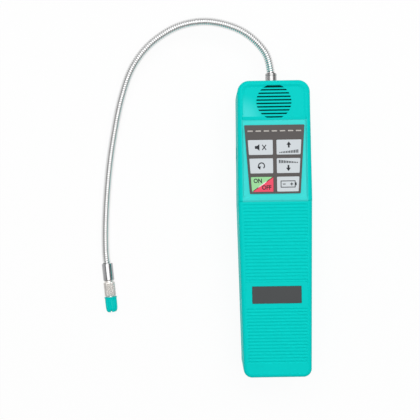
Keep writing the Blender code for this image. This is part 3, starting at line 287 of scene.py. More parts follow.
    def lathe(self, name: str, levels: Sequence[Point], sides: int, ring: bool = False) -> Piece:
        """Turns a piece about Z: a circle extruded and resized from level to level.

        Args:
            name: The piece's name.
            levels: Radius and height of each level.
            sides: How many sides the circle has.
            ring: Whether the last level joins the first, which leaves a bore.

        Returns:
            The turned piece, at the origin.
        """
        radius, height = levels[0]
        bpy.ops.object.select_all(action="DESELECT")
        bpy.ops.mesh.primitive_circle_add(vertices=sides, radius=radius, location=(0, 0, height))
        made = self.settle(bpy.context.object)
        made.name = name
        with self.editing(made, "EDGE"):
            bpy.ops.mesh.select_all(action="SELECT")
            if not ring:
                bpy.ops.mesh.edge_face_add()
            for level in levels[1:]:
                rise = {"value": (0, 0, level[1] - height)}
                if ring:
                    bpy.ops.mesh.extrude_edges_move(TRANSFORM_OT_translate=rise)
                else:
                    bpy.ops.mesh.extrude_region_move(TRANSFORM_OT_translate=rise)
                share = level[0] / radius
                bpy.ops.transform.resize(value=(share, share, 1), center_override=(0, 0, level[1]))
                radius, height = level
            if ring:
                mesh = bmesh.from_edit_mesh(made.data)
                for edge in mesh.edges:
                    edge.select_set(edge.is_boundary)
                bmesh.update_edit_mesh(made.data)
                bpy.ops.mesh.bridge_edge_loops()
            bpy.ops.mesh.select_all(action="SELECT")
            bpy.ops.mesh.normals_make_consistent(inside=False)
        return made

    def combine(self, target: Piece, tools: Sequence[Piece], operation: str = "DIFFERENCE") -> None:
        """Cuts tools out of a piece or joins them on, and clears them away.

        Args:
            target: The piece that is worked on.
            tools: The pieces that are cut out of it or joined to it.
            operation: DIFFERENCE, UNION or INTERSECT.
        """
        tool = self.join(tools)
        self.take(target)
        bpy.ops.object.modifier_add(type="BOOLEAN")
        step = target.modifiers[-1]
        step.operation = operation
        step.solver = "EXACT"
        step.object = tool
        step.use_self = len(tools) > 1
        bpy.ops.object.modifier_apply(modifier=step.name)
        bpy.data.objects.remove(tool, do_unlink=True)

    def join(self, pieces: Sequence[Piece], name: str = "") -> Piece:
        """Joins pieces into the first one.

        Args:
            pieces: The objects to join.
            name: The joined piece's name, or nothing to keep the first one's.

        Returns:
            The joined piece.
        """
        self.take(*pieces)
        if len(pieces) > 1:
            bpy.ops.object.join()
        made = bpy.context.object
        if name:
            made.name = name
        return made

    def copy(self, piece: Piece, name: str, matrix: Matrix) -> Piece:
        """Adds a copy of a piece, with a mesh of its own, in another place.

        Args:
            piece: The object to copy.
            name: The copy's name.
            matrix: The copy's place.

        Returns:
            The copy.
        """
        made = bpy.data.objects.new(name, piece.data.copy())
        bpy.context.scene.collection.objects.link(made)
        return self.move(made, matrix)

    def node_copy(self, node: str, name: str) -> Piece:
        """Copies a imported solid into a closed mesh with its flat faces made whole.

        Args:
            node: The solid's name.
            name: The new piece's name.

        Returns:
            The copy.
        """
        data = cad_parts[node].data.copy()
        data.materials.clear()
        made = bpy.data.objects.new(name, data)
        bpy.context.scene.collection.objects.link(made)
        with self.editing(made):
            bpy.ops.mesh.select_all(action="SELECT")
            bpy.ops.mesh.remove_doubles(threshold=NEAR / 10)
            bpy.ops.mesh.dissolve_limited(angle_limit=math.radians(0.5))
        return made

    def soften(self, piece: Piece, width: float, sharp: float = 30) -> None:
        """Breaks a piece's sharp edges by a small rounding, as a mould leaves them.

        Args:
            piece: The object to soften.
            width: How far the rounding reaches.
            sharp: From how many degrees an edge counts as sharp.
        """
        self.take(piece)
        bpy.ops.object.modifier_add(type="BEVEL")
        step = piece.modifiers[-1]
        step.width = width
        step.segments = 2
        step.limit_method = "ANGLE"
        step.angle_limit = math.radians(sharp)
        step.miter_outer = "MITER_ARC"
        step.use_clamp_overlap = True
        bpy.ops.object.modifier_apply(modifier=step.name)

    def smooth(self, piece: Piece, angle: float = 35) -> None:
        """Shades a piece smooth up to an angle, with its large flat faces left flat.

        Args:
            piece: The object to shade.
            angle: Up to how many degrees an edge is shaded smooth.
        """
        self.take(piece)
        bpy.ops.object.shade_smooth_by_angle(angle=math.radians(angle))
        bpy.ops.object.modifier_add(type="WEIGHTED_NORMAL")
        step = piece.modifiers[-1]
        step.keep_sharp = True
        step.weight = 100
        bpy.ops.object.modifier_apply(modifier=step.name)


class Signal:
    """A shader socket that takes part in sums."""

    def __init__(self, recipe: "Recipe", socket: bpy.types.NodeSocket) -> None:
        """Keeps the socket and the recipe that it belongs to."""
        self.recipe = recipe
        self.socket = socket

    def __add__(self, other: "Value") -> "Signal":
        """Adds."""
        return self.recipe.math("ADD", self, other)

    def __sub__(self, other: "Value") -> "Signal":
        """Takes away."""
        return self.recipe.math("SUBTRACT", self, other)

    def __rsub__(self, other: "Value") -> "Signal":
        """Is taken away."""
        return self.recipe.math("SUBTRACT", other, self)

    def __mul__(self, other: "Value") -> "Signal":
        """Multiplies."""
        return self.recipe.math("MULTIPLY", self, other)

    def __truediv__(self, other: "Value") -> "Signal":
        """Divides."""
        return self.recipe.math("DIVIDE", self, other)

    def __pow__(self, other: "Value") -> "Signal":
        """Raises to a power."""
        return self.recipe.math("POWER", self, other)

    __radd__ = __add__
    __rmul__ = __mul__

    def beyond(self, start: float, end: float) -> "Signal":
        """A soft step from 0 at one value to 1 at another, which may be the lower one.

        Args:
            start: The value where the step is 0.
            end: The value where it is 1.

        Returns:
            The step.
        """
        settings = {"interpolation_type": "SMOOTHSTEP"}
        inputs = {"Value": self, "From Min": start, "From Max": end}
        return self.recipe.add("ShaderNodeMapRange", settings, inputs)

    def size(self) -> "Signal":
        """The value without its sign."""
        return self.recipe.math("ABSOLUTE", self)


Value = Signal | float


class Recipe:
    """Builds the nodes of one material."""

    def __init__(self, name: str) -> None:
        """Makes the material and finds its shader."""
        self.material = bpy.data.materials.new(name)
        self.material.use_nodes = True
        self.tree = self.material.node_tree
        self.shader = self.tree.nodes["Principled BSDF"]
        self.place = self.add("ShaderNodeTexCoord", {}, {}, "Object")

    def add(
        self, kind: str, settings: dict[str, object], inputs: dict[str | int, object], output: str | int = 0
    ) -> Signal:
        """Adds a node, with its settings set before its sockets.

        Args:
            kind: The node's type.
            settings: Properties of the node.
            inputs: Values or links of its sockets.
            output: The socket that is wanted back.

        Returns:
            One output of the node.
        """
        node = self.tree.nodes.new(kind)
        for key, value in settings.items():
            setattr(node, key, value)
        for key, value in inputs.items():
            self.feed(node.inputs[key], value)
        return Signal(self, node.outputs[output])

    def feed(self, socket: bpy.types.NodeSocket, value: object) -> None:
        """Links a signal to a socket, or writes a value on it."""
        if isinstance(value, Signal):
            self.tree.links.new(value.socket, socket)
        elif socket.type == "RGBA":
            socket.default_value = (*value, 1)
        else:
            socket.default_value = value

    def math(self, operation: str, *values: Value) -> Signal:
        """Adds a Math node."""
        return self.add("ShaderNodeMath", {"operation": operation}, dict(enumerate(values)))

    def axes(self, place: Signal | None = None) -> tuple[Signal, Signal, Signal]:
        """Splits a place into X, Y and Z."""
        node = self.tree.nodes.new("ShaderNodeSeparateXYZ")
        self.feed(node.inputs[0], place or self.place)
        return tuple(Signal(self, socket) for socket in node.outputs)

    def turned_place(self, matrix: Matrix) -> Signal:
        """The place on a piece in that piece's own axes."""
        back = matrix.inverted()
        settings = {"vector_type": "POINT"}
        inputs = {"Location": back.to_translation(), "Rotation": back.to_euler(), "Vector": self.place}
        return self.add("ShaderNodeMapping", settings, inputs)

    def noise(
        self,
        size: float,
        detail: float = 2.0,
        place: Signal | None = None,
        stretch: Place = (1, 1, 1),
    ) -> Signal:
        """Cloudy noise from 0 to 1.

        Args:
            size: The size of its spots, in metres.
            detail: How many finer layers it has.
            place: Where it is read, or the piece's own place.
            stretch: How much finer it is along each axis.

        Returns:
            The noise.
        """
        scaled = {0: place or self.place, 1: stretch}
        spot = self.add("ShaderNodeVectorMath", {"operation": "MULTIPLY"}, scaled)
        inputs = {"Vector": spot, "Scale": 1 / size, "Detail": detail}
        return self.add("ShaderNodeTexNoise", {}, inputs, "Fac")

    def mix(self, share: Value, first: object, second: object) -> Signal:
        """Mixes two colours."""
        settings = {"data_type": "RGBA"}
        return self.add("ShaderNodeMix", settings, {0: share, 6: first, 7: second}, 2)

    def bump(self, height: Signal, distance: float) -> Signal:
        """Adds a Bump node."""
        return self.add("ShaderNodeBump", {}, {"Height": height, "Distance": distance, "Strength": 1.0})

    def set(self, **values: object) -> None:
        """Sets the shader's sockets: base_color becomes Base Color."""
        for key, value in values.items():
            self.feed(self.shader.inputs[key.replace("_", " ").title().replace("Ior", "IOR")], value)


@dataclass(frozen=True)
class Finish:
    """A surface: its colour and gloss, with a fine grain and slow clouds in both.

    Attributes:
        name: The material's name.
        colour: Its linear colour.
        roughness: How matt it is.
        metallic: 1 for bare metal.
        gloss: How strongly a plain surface reflects.
        grain: The size of its fine grain, in metres.
        grain_depth: How deep the grain is, in metres.
        cloud: How far its colour drifts over a few centimetres.
    """

    name: str
    colour: Colour
    roughness: float
    metallic: float = 0.0
    gloss: float = 0.12
    grain: float = 0.35 * MM
    grain_depth: float = 0.006 * MM
    cloud: float = 0.03

    def tint(self, recipe: Recipe) -> Signal:
        """The colour with its slow drift."""
        darker = tuple(part * (1 - self.cloud) for part in self.colour)
        lighter = tuple(min(1, part * (1 + self.cloud)) for part in self.colour)
        return recipe.mix(recipe.noise(14 * MM), darker, lighter)

    def sheen(self, recipe: Recipe) -> Signal:
        """The roughness with the marks of handling."""
        return recipe.noise(6 * MM, 4) * 0.12 + (self.roughness - 0.06)

    def relief(self, recipe: Recipe) -> Signal:
        """The fine grain of the surface."""
        return recipe.bump(recipe.noise(self.grain, 3), self.grain_depth)

    def recipe(self) -> Recipe:
        """Builds the material's nodes.

        Returns:
            The recipe, which more can be added to.
        """
        recipe = Recipe(self.name)
        recipe.set(base_color=self.tint(recipe), roughness=self.sheen(recipe), normal=self.relief(recipe))
        recipe.set(metallic=self.metallic, specular_ior_level=self.gloss)
        return recipe

    def paint(self) -> Material:
        """Builds the material."""
        return self.recipe().material


@dataclass(frozen=True)
class ShellPlastic(Finish):
    """The teal moulding, with painted light: paler on the floor and walls of its pocket, and a painted
    reflection in one corner of its dish.

    Attributes:
        floor_colour: The colour of the pocket's floor and walls, paler than the shell as painted light.
        pocket_low: The lowest corner of the floor and its side walls.
        pocket_high: Their highest corner.
        reflection_colour: The colour of the painted reflection in the dish.
        reflection_spot: Where the painted reflection has its middle.
        reflection_reach: How far it reaches.
        reflection_heights: The heights between which it comes in, on the dish's sunk floor.
        reflection_foot: How far past the pocket it starts, and where it is whole.
        edge: How soft the limits of both tints are.
    """

    floor_colour: Colour = (0.04, 0.7, 0.68)
    pocket_low: Place = (-25.0 * MM, 20.9 * MM, 42.4 * MM)
    pocket_high: Place = (25.0 * MM, 83.8 * MM, 43.95 * MM)
    reflection_colour: Colour = (0.1, 0.75, 0.74)
    reflection_spot: Point = (-25 * MM, 86 * MM)
    reflection_reach: float = 19 * MM
    reflection_heights: Point = (43.8 * MM, 43.4 * MM)
    reflection_foot: Point = (2.6 * MM, 3.0 * MM)
    edge: float = 0.2 * MM

    def tint(self, recipe: Recipe) -> Signal:
        """The colour, with painted light: paler on the pocket's floor and walls, and a painted reflection in
        the dish's lower left.
        """
        x, y, z = recipe.axes()
        foot, floor = self.pocket_low[1:]
        side, head, mouth = self.pocket_high
        within = z.beyond(floor - 2 * self.edge, floor - self.edge)
        within = within * x.size().beyond(side + self.edge, side)
        # painted light: the pocket's floor and walls are tinted paler
        inside = within * z.beyond(mouth + self.edge, mouth)
        inside = inside * y.beyond(foot, foot + self.edge)
        inside = inside * y.beyond(head + self.edge, head)
        # a painted reflection: a paler spot on the dish's floor, round a point in its lower left
        across, up = x - self.reflection_spot[0], y - self.reflection_spot[1]
        away = (across * across + up * up) ** 0.5
        reflection_spot = within * away.beyond(self.reflection_reach, 0.2 * self.reflection_reach)
        reflection_spot = reflection_spot * z.beyond(*self.reflection_heights)
        reflection_spot = reflection_spot * y.beyond(*(head + run for run in self.reflection_foot))
        shell = recipe.mix(reflection_spot, super().tint(recipe), self.reflection_colour)
        return recipe.mix(inside, shell, self.floor_colour)


@dataclass(frozen=True)
class WoundMetal(Finish):
    """The wound neck's metal, with painted shade down between its turns."""

    # the colour of the painted shade between the turns
    valley: Colour = (0.02, 0.02, 0.02)
    mark: str = "valley"

    def tint(self, recipe: Recipe) -> Signal:
        """The metal, with painted shade by how deep a point lies between two turns."""
        deep = recipe.add("ShaderNodeAttribute", {"attribute_name": self.mark}, {}, "Fac")
        return recipe.mix(deep, super().tint(recipe), self.valley)


@dataclass(frozen=True)
class TurnedMetal(Finish):
    """Metal with the rings that a lathe leaves round its axis."""

    axis: Matrix = field(default_factory=Matrix)
    ring_depth: float = 0.004 * MM

    def sheen(self, recipe: Recipe) -> Signal:
        """The roughness, in rings."""
        place = recipe.turned_place(self.axis)
        rings = recipe.noise(0.4 * MM, 2, place, (0.02, 0.02, 1))
        return rings * 0.16 + (self.roughness - 0.08)

    def relief(self, recipe: Recipe) -> Signal:
        """The rings themselves."""
        place = recipe.turned_place(self.axis)
        return recipe.bump(recipe.noise(0.25 * MM, 2, place, (0.02, 0.02, 1)), self.ring_depth)


@dataclass(frozen=True)
class BoardLacquer(Finish):
    """A circuit board's lacquer, with copper tracks that show through it."""

    track: Colour = (0.05, 0.3, 0.1)
    pitch: float = 2.54 * MM

    def tint(self, recipe: Recipe) -> Signal:
        """Lacquer and tracks."""
        x, y, _ = recipe.axes()
        across = recipe.math("PINGPONG", x + recipe.noise(9 * MM) * 4 * MM, self.pitch / 2)
        track = 1 - across.beyond(0.3 * MM, 0.4 * MM)
        return recipe.mix(track, self.colour, self.track)


class Finishes(Enum):
    """The finishes of the detector."""

    SHELL = ShellPlastic(
        "teal_moulding", linear(2, 206, 199), 0.42, gloss=0.03, grain_depth=0.003 * MM, cloud=0.02,
        floor_colour=linear(66, 218, 214), reflection_colour=linear(66, 219, 215),
    # painted light on the pocket's floor and walls, and a painted reflection in the dish
    )
    CAP = Finish("teal_cap", linear(0, 203, 197), 0.3, gloss=0.06, grain_depth=0.002 * MM)
    OVERLAY = Finish("overlay_film", linear(95, 91, 90), 0.5, gloss=0.05, grain=0.2 * MM)
    KEY = Finish("key_film", linear(208, 214, 218), 0.5, gloss=0.05, grain=0.2 * MM, cloud=0.015)
    GREEN = Finish("green_film", linear(158, 218, 158), 0.5, gloss=0.05, grain=0.2 * MM, cloud=0.015)
    RED = Finish("red_film", linear(238, 86, 110), 0.5, gloss=0.05, grain=0.2 * MM, cloud=0.015)
    LIGHT = Finish("light_window", linear(188, 183, 178), 0.35, gloss=0.05, grain_depth=0.002 * MM)
    INK = Finish("dark_ink", linear(56, 58, 62), 0.6, gloss=0.03, grain_depth=0.002 * MM)
    PLATE = Finish("name_plate", linear(78, 80, 81), 0.5, gloss=0.05, grain=0.25 * MM)
    # the neck's metal, with painted shade between its turns
    NECK = WoundMetal("neck_steel", (0.33, 0.33, 0.33), 0.18, 1.0, grain=1.2 * MM, grain_depth=0.004 * MM)
    NICKEL = Finish("knurled_nickel", linear(232, 228, 224), 0.28, 0.75, grain=0.3 * MM, cloud=0.1)
    STEEL = Finish("plain_steel", (0.6, 0.6, 0.61), 0.32, 1.0, grain_depth=0.004 * MM)
    BLACK = Finish("black_plastic", (0.02, 0.02, 0.02), 0.5)
    DARK_TEAL = Finish("holster_plastic", (0.012, 0.03, 0.03), 0.6)
    WHITE = Finish("white_nylon", (0.78, 0.78, 0.75), 0.5)
    FILM = Finish("inner_film", (0.03, 0.03, 0.03), 0.5, gloss=0.05)
    CELL = Finish("cell_sleeve", (0.11, 0.115, 0.12), 0.3, gloss=0.5, grain_depth=0.003 * MM)
    CAN = Finish("capacitor_sleeve", (0.02, 0.04, 0.2), 0.35)
    CORE = Finish("core_varnish", (0.25, 0.16, 0.05), 0.5, grain=0.5 * MM, grain_depth=0.05 * MM)
    CONE = Finish("cone_paper", (0.002, 0.1, 0.096), 0.85, gloss=0.02, grain=0.6 * MM, grain_depth=0.06 * MM)
    BASKET = Finish("basket_black", (0.002, 0.05, 0.048), 0.6, gloss=0.02)
    BOARD = BoardLacquer("board_lacquer", linear(20, 92, 44), 0.35, track=linear(38, 120, 60))

    def material(self) -> Material:
        """The finish's material, made when it is first asked for."""
        return bpy.data.materials.get(self.value.name) or self.value.paint()


@dataclass
class Assembly:
    """A group of pieces with the bench that they are made on."""

    bench: Bench
    made: list[str] = field(default_factory=list)

    def dress(
        self,
        piece: Piece,
        finish: Finishes | Material,
        body: str,
        slot: str,
        nodes: Sequence[str] = (),
    ) -> Piece:
        """Gives a piece its finish and body, and hides the solids that it stands for.

        Args:
            piece: The finished piece.
            finish: Its finish or material.
            body: The body that it rides on.
            slot: The material slot meant for its finish; not used.
            nodes: The solids that it replaces.

        Returns:
            The piece.
        """
        piece.data.materials.clear()
        piece.data.materials.append(finish.material() if isinstance(finish, Finishes) else finish)
        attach(piece, body)
        if nodes:
            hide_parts(*nodes)
        self.made.append(piece.name)
        return piece

    def paint_nodes(self, finish: Finishes, *nodes: str) -> None:
        """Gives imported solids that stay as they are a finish."""
        for node in nodes:
            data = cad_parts[node].data
            data.materials.clear()
            data.materials.append(finish.material())
            self.made.append(node)

    def report(self) -> None:
        """Writes what was made to the log."""
        LOG.info("%s: %s", type(self).__name__, ", ".join(self.made))


@dataclass
class Outline:
    """The tapered outline that both housings share, seen from the front."""

    top: float = 114.5 * MM
    head_half: float = 28.0 * MM
    shoulder_half: float = 28.6 * MM
    foot_half: float = 26.3 * MM
    shoulder_y: float = 21.0 * MM
    head_corner: float = 9.0 * MM
    foot_corner: float = 6.3 * MM
    corner_steps: int = 10

    def half_width(self, y: float) -> float:
        """Half the housing's width at a height up the handle or the head."""
        if y > self.shoulder_y:
            share = (y - self.shoulder_y) / (self.top - self.head_corner - self.shoulder_y)
            return self.shoulder_half + share * (self.head_half - self.shoulder_half)
        share = (self.shoulder_y - y) / (self.shoulder_y + self.top - self.foot_corner)
        return self.shoulder_half + share * (self.foot_half - self.shoulder_half)


@dataclass
class FrontShell(Assembly):
    """The front housing: rim, speaker dish with its grille, keypad pocket and grooved handle."""

    outline: Outline = field(default_factory=Outline)
    low: float = 22.15 * MM
    high: float = 44.0 * MM
    handle_drop: float = 1.0 * MM
    shoulder_run: float = 1.2 * MM
    rim: float = 3.2 * MM
    skirt: float = 1.0 * MM
    rebate: float = 1.5 * MM
    wall: float = 2.4 * MM
    roof: float = 4.6 * MM
    dish_middle: Point = (0, 97.6 * MM)
    dish_half: Point = (22.9 * MM, 11.6 * MM)
    dish_depth: float = 0.9 * MM
    dish_lean: float = 1.8 * MM
    dish_corner: float = 4.5 * MM
    grille_middle: Point = (0, 97.9 * MM)
    grille_radius: float = 13.5 * MM
    slots: int = 10
    slot_pitch: float = 2.61 * MM
    slot_width: float = 1.15 * MM
    well_radius: float = 13.3 * MM
    well_roof: float = 1.8 * MM
    pocket_middle: Point = (0, 54.0 * MM)
    pocket_half: Point = (24.0 * MM, 29.8 * MM)
    pocket_depth: float = 1.6 * MM
    pocket_lean: float = 0.9 * MM
    pocket_corner: float = 1.6 * MM
    pocket_foot: float = 1.8 * MM
    brow: float = 6.4 * MM
    groove_runs: tuple[tuple[int, float, float], ...] = (
        (23, 18.4 * MM, 2.63 * MM),
        (17, -61.8 * MM, 2.53 * MM),
    )
    groove_side: float = 3.5 * MM
    groove_depth: float = 0.5 * MM
    groove_width: float = 2.3 * MM
    groove_fade: float = 0.5 * MM
    crescent_drop: float = 0.4 * MM
    plate_middle: Point = (0, -50.6 * MM)
    plate_half: Point = (18.85 * MM, 6.5 * MM)
    plate_fit: float = 0.3 * MM
    plate_seat: float = 0.8 * MM
    plate_corner: float = 0.4 * MM
    field_half: float = 10.0 * MM
    field_depth: float = 0.25 * MM
    field_lean: float = 0.2 * MM
    edge: float = 0.18 * MM

    def blank(self) -> Piece:
        """The solid form: a block pulled to the outline, with round corners and a round rim."""
        plan, bench = self.outline, self.bench
        half = plan.shoulder_half
        body = bench.block("front_moulding", (-half, -plan.top, self.low), (half, plan.top, self.high))
        with bench.editing(body):
            for y in (plan.shoulder_y, plan.shoulder_y + self.shoulder_run):
                bpy.ops.mesh.select_all(action="SELECT")
                bpy.ops.mesh.bisect(plane_co=(0, y, 0), plane_no=(0, 1, 0))
            for y in (plan.top, -plan.top):
                bench.pick(body, lambda p, y=y: abs(p.y - y) < NEAR)
                grow = plan.half_width(y) / plan.shoulder_half
                bpy.ops.transform.resize(value=(grow, 1, 1), center_override=(0, 0, 0))
            bench.pick(body, lambda p: p.y < plan.shoulder_y + NEAR and p.z > self.high - NEAR)
            bpy.ops.transform.translate(value=(0, 0, -self.handle_drop))
        bench.uprights(body, lambda p: p.y > plan.top - NEAR, plan.head_corner, plan.corner_steps)
        bench.uprights(body, lambda p: p.y < NEAR - plan.top, plan.foot_corner, plan.corner_steps)
        self.round_rim(body)
        return body

    def round_rim(self, body: Piece) -> None:
        """Rounds the edge where the side turns into the face, all round."""
        floor = self.high - self.handle_drop - NEAR
        with self.bench.editing(body, "EDGE") as mesh:
            for edge in mesh.edges:
                side = any(abs(face.normal.z) < 0.1 for face in edge.link_faces)
                top = any(face.normal.z > 0.5 for face in edge.link_faces)
                edge.select_set(side and top and all(corner.co.z > floor for corner in edge.verts))
            bmesh.update_edit_mesh(body.data)
            bpy.ops.mesh.bevel(offset=self.rim, segments=7, profile=0.5, affect="EDGES")

    def hollow(self, body: Piece) -> None:
        """Hollows the block from below: a skirt, the rebate over the lip and the inside."""
        bench = self.bench
        with bench.editing(body, "FACE"):
            bench.pick(body, lambda p: p.z < self.low + NEAR, "faces")
            bpy.ops.mesh.inset(thickness=self.skirt, depth=0)
            bpy.ops.mesh.extrude_region_move(TRANSFORM_OT_translate={"value": (0, 0, self.rebate)})
            bpy.ops.mesh.inset(thickness=self.wall - self.skirt, depth=0)
            rise = self.high - self.roof - self.low - self.rebate
            bpy.ops.mesh.extrude_region_move(TRANSFORM_OT_translate={"value": (0, 0, rise)})

    def grille_tools(self) -> Piece:
        """The slots of the grille, their ends cut to a circle."""
        bench = self.bench
        x, middle = self.grille_middle
        slots = []
        for i in range(self.slots):
            y = middle + ((self.slots - 1) / 2 - i) * self.slot_pitch
            upper = y + self.slot_width / 2
            if i == 0:
                y -= self.crescent_drop
                upper += self.slot_width / 2 - self.crescent_drop
            low = (-self.grille_radius, y - self.slot_width / 2, self.high - self.roof - MM)
            slots.append(bench.block("slot_tool", low, (self.grille_radius, upper, self.high + MM)))
        tool = bench.join(slots)
        levels = [(self.grille_radius, self.high - 8 * MM), (self.grille_radius, self.high)]
        disc = bench.lathe("disc", levels, 64)
        bench.move(disc, Matrix.Translation((x, middle, 0)))
        bench.combine(tool, [disc], "INTERSECT")
        return tool

    def groove_tools(self) -> Piece:
        """The cutters of the handle's cross grooves: one is modelled and copied down the handle."""
        bench, face = self.bench, self.high - self.handle_drop
        reach = self.outline.shoulder_half - self.groove_side
        bpy.ops.object.select_all(action="DESELECT")
        bpy.ops.mesh.primitive_grid_add(x_subdivisions=3, y_subdivisions=14, size=2)
        single = bpy.context.object
        for corner in single.data.vertices:
            x, y = corner.co.x, corner.co.y
            at_end = abs(x) > 1 - NEAR
            dip = 0.0 if at_end else math.cos(math.pi * y / 2) ** 2
            x = math.copysign(reach if at_end else reach - self.groove_fade, x)
            corner.co = (x, y * self.groove_width / 2, 0.02 * MM - self.groove_depth * dip)
        with bench.editing(single, "FACE"):
            bpy.ops.mesh.select_all(action="SELECT")
            bpy.ops.mesh.extrude_region_move(TRANSFORM_OT_translate={"value": (0, 0, 3 * MM)})
            bpy.ops.mesh.select_all(action="SELECT")
            bpy.ops.mesh.normals_make_consistent(inside=False)
        copies = []
        for count, first, pitch in self.groove_runs:
            for i in range(count):
                y = first - i * pitch
                stretch = (self.outline.half_width(y) - self.groove_side) / reach
                place = Matrix.Translation((0, y, face)) @ Matrix.Diagonal((stretch, 1, 1, 1))
                copies.append(bench.copy(single, "groove_copy", place))
        bpy.data.objects.remove(single, do_unlink=True)
        return bench.join(copies)

    def recess(
        self, middle: Point, half: Point, depth: float, lean: float, radius: float, face: float
    ) -> Piece:
        """The cutter of a recess in the face.

        Args:
            middle: The middle of its floor.
            half: Half its floor's width and length.
            depth: How deep the floor lies.
            lean: How far each wall leans out.
            radius: The radius of its corners.
            face: The height of the face that it is cut in.

        Returns:
            The cutter, in its place.
        """
        wide = (half[0] + lean, half[1] + lean)
        tool = self.bench.tray("recess_tool", half, wide, depth, MM, radius, min(0.5 * MM, depth / 2))
        return self.bench.move(tool, Matrix.Translation((*middle, face)))

    def lean(self, tool: Piece, test: Callable[[float], bool], run: float) -> None:
        """Moves the mouth of one of a cutter's walls along Y, so that the wall leans more.

        Args:
            tool: The cutter.
            test: Says whether a Y lies in the wall.
            run: How far the mouth moves.
        """
        with self.bench.editing(tool):
            self.bench.pick(tool, lambda p: test(p.y) and p.z > self.high - 0.3 * MM)
            bpy.ops.transform.translate(value=(0, run, 0))

    def build(self) -> None:
        """Models the front housing and dresses it."""
        bench = self.bench
        body = self.blank()
        self.hollow(body)
        dish = (self.dish_middle, self.dish_half, self.dish_depth, self.dish_lean, self.dish_corner)
        bench.combine(body, [self.recess(*dish, self.high)])
        hole = (self.pocket_middle, self.pocket_half, self.pocket_depth, self.pocket_lean, self.pocket_corner)
        pocket = self.recess(*hole, self.high)
        middle, half = self.pocket_middle[1], self.pocket_half[1]
        self.lean(pocket, lambda y: y > middle + half - 0.2 * MM, self.brow - self.pocket_lean)
        self.lean(pocket, lambda y: y < middle - half + 0.2 * MM, self.pocket_lean - self.pocket_foot)
        bench.combine(body, [pocket])
        seat_half = (self.plate_half[0] + self.plate_fit, self.plate_half[1] + self.plate_fit)
        field_half = (self.outline.half_width(self.plate_middle[1]) - self.groove_side, self.field_half)
        for recess_half, depth, lean in (
            (field_half, self.field_depth, self.field_lean),
            (seat_half, self.plate_seat, 0),
        ):
            shape = (self.plate_middle, recess_half, depth, lean, self.plate_corner)
            bench.combine(body, [self.recess(*shape, self.high - self.handle_drop)])
        bench.combine(body, [self.well()])
        bench.combine(body, [self.groove_tools()])
        bench.combine(body, [self.grille_tools()])
        roof = self.high - self.dish_depth - self.well_roof
        speaker = bench.lathe("speaker_tool", [(self.well_radius, 30 * MM), (self.well_radius, roof)], 64)
        bench.move(speaker, Matrix.Translation((*self.grille_middle, 0)))
        bench.combine(body, [speaker])
        bench.combine(body, [NeckRoot.exit_tool(bench)])
        bench.soften(body, self.edge)
        bench.smooth(body)
        self.dress(body, Finishes.SHELL, "housing", "shell", ["front_housing"])

    def well(self) -> Piece:
        """The sunk floor under the keypad that its film and domes lie in."""
        corners = Keypad.pad_corners(2.0 * MM)
        floor = self.high - self.pocket_depth
        return self.bench.plate("well_tool", corners, floor - 1.2 * MM, floor + 0.1 * MM, 0.8 * MM)


@dataclass
class RearShell(Assembly):
    """The rear housing, its door and what shows in the battery bay."""

    edge: float = 0.2 * MM
    cell_radius: float = 13.1 * MM
    cell_edge: float = 0.9 * MM
    nub: Point = (3.6 * MM, 1.8 * MM)
    rim_radius: float = 11.6 * MM

    def build(self) -> None:
        """Finishes the rear housing and the door, and turns the cells."""
        for node, name, body in (
            ("rear_housing", "rear_moulding", "housing"),
            ("battery_door", "bay_door", "door"),
        ):
            piece = self.bench.node_copy(node, name)
            self.bench.soften(piece, self.edge)
            self.bench.smooth(piece)
            self.dress(piece, Finishes.SHELL, body, "shell", [node])
        for node in ("lower_cell", "upper_cell"):
            self.cell(node)
        self.paint_nodes(Finishes.STEEL, "spring_plate", "battery_spring", "nub_contact")

    def cell(self, node: str) -> None:
        """A round cell: rolled ends, a sleeve and the nub."""
        low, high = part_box(node)
        length = high.y - low.y
        rim, nub = self.rim_radius, self.nub
        shoulder = length - nub[1]
        levels = [
            (rim - 0.6 * MM, 0.3 * MM), (rim, 0), (self.cell_radius - 0.4 * MM, 0.1 * MM),
            (self.cell_radius, self.cell_edge), (self.cell_radius, shoulder - self.cell_edge),
            (self.cell_radius - 0.4 * MM, shoulder - 0.1 * MM), (rim, shoulder),
            (rim - 0.6 * MM, shoulder - 0.4 * MM), (nub[0] + 1.4 * MM, shoulder - 0.4 * MM),
            (nub[0] + 0.2 * MM, shoulder), (nub[0], length - 0.3 * MM), (nub[0] - 0.4 * MM, length),
        ]
        piece = self.bench.lathe(f"{node}_can", levels, 48)
        middle = (low + high) / 2
        turn = Matrix.Rotation(-math.pi / 2, 4, "X")
        self.bench.move(piece, Matrix.Translation((middle.x, low.y, middle.z)) @ turn)
        self.bench.smooth(piece)
        self.dress(piece, Finishes.CELL, "housing", "cells", [node])


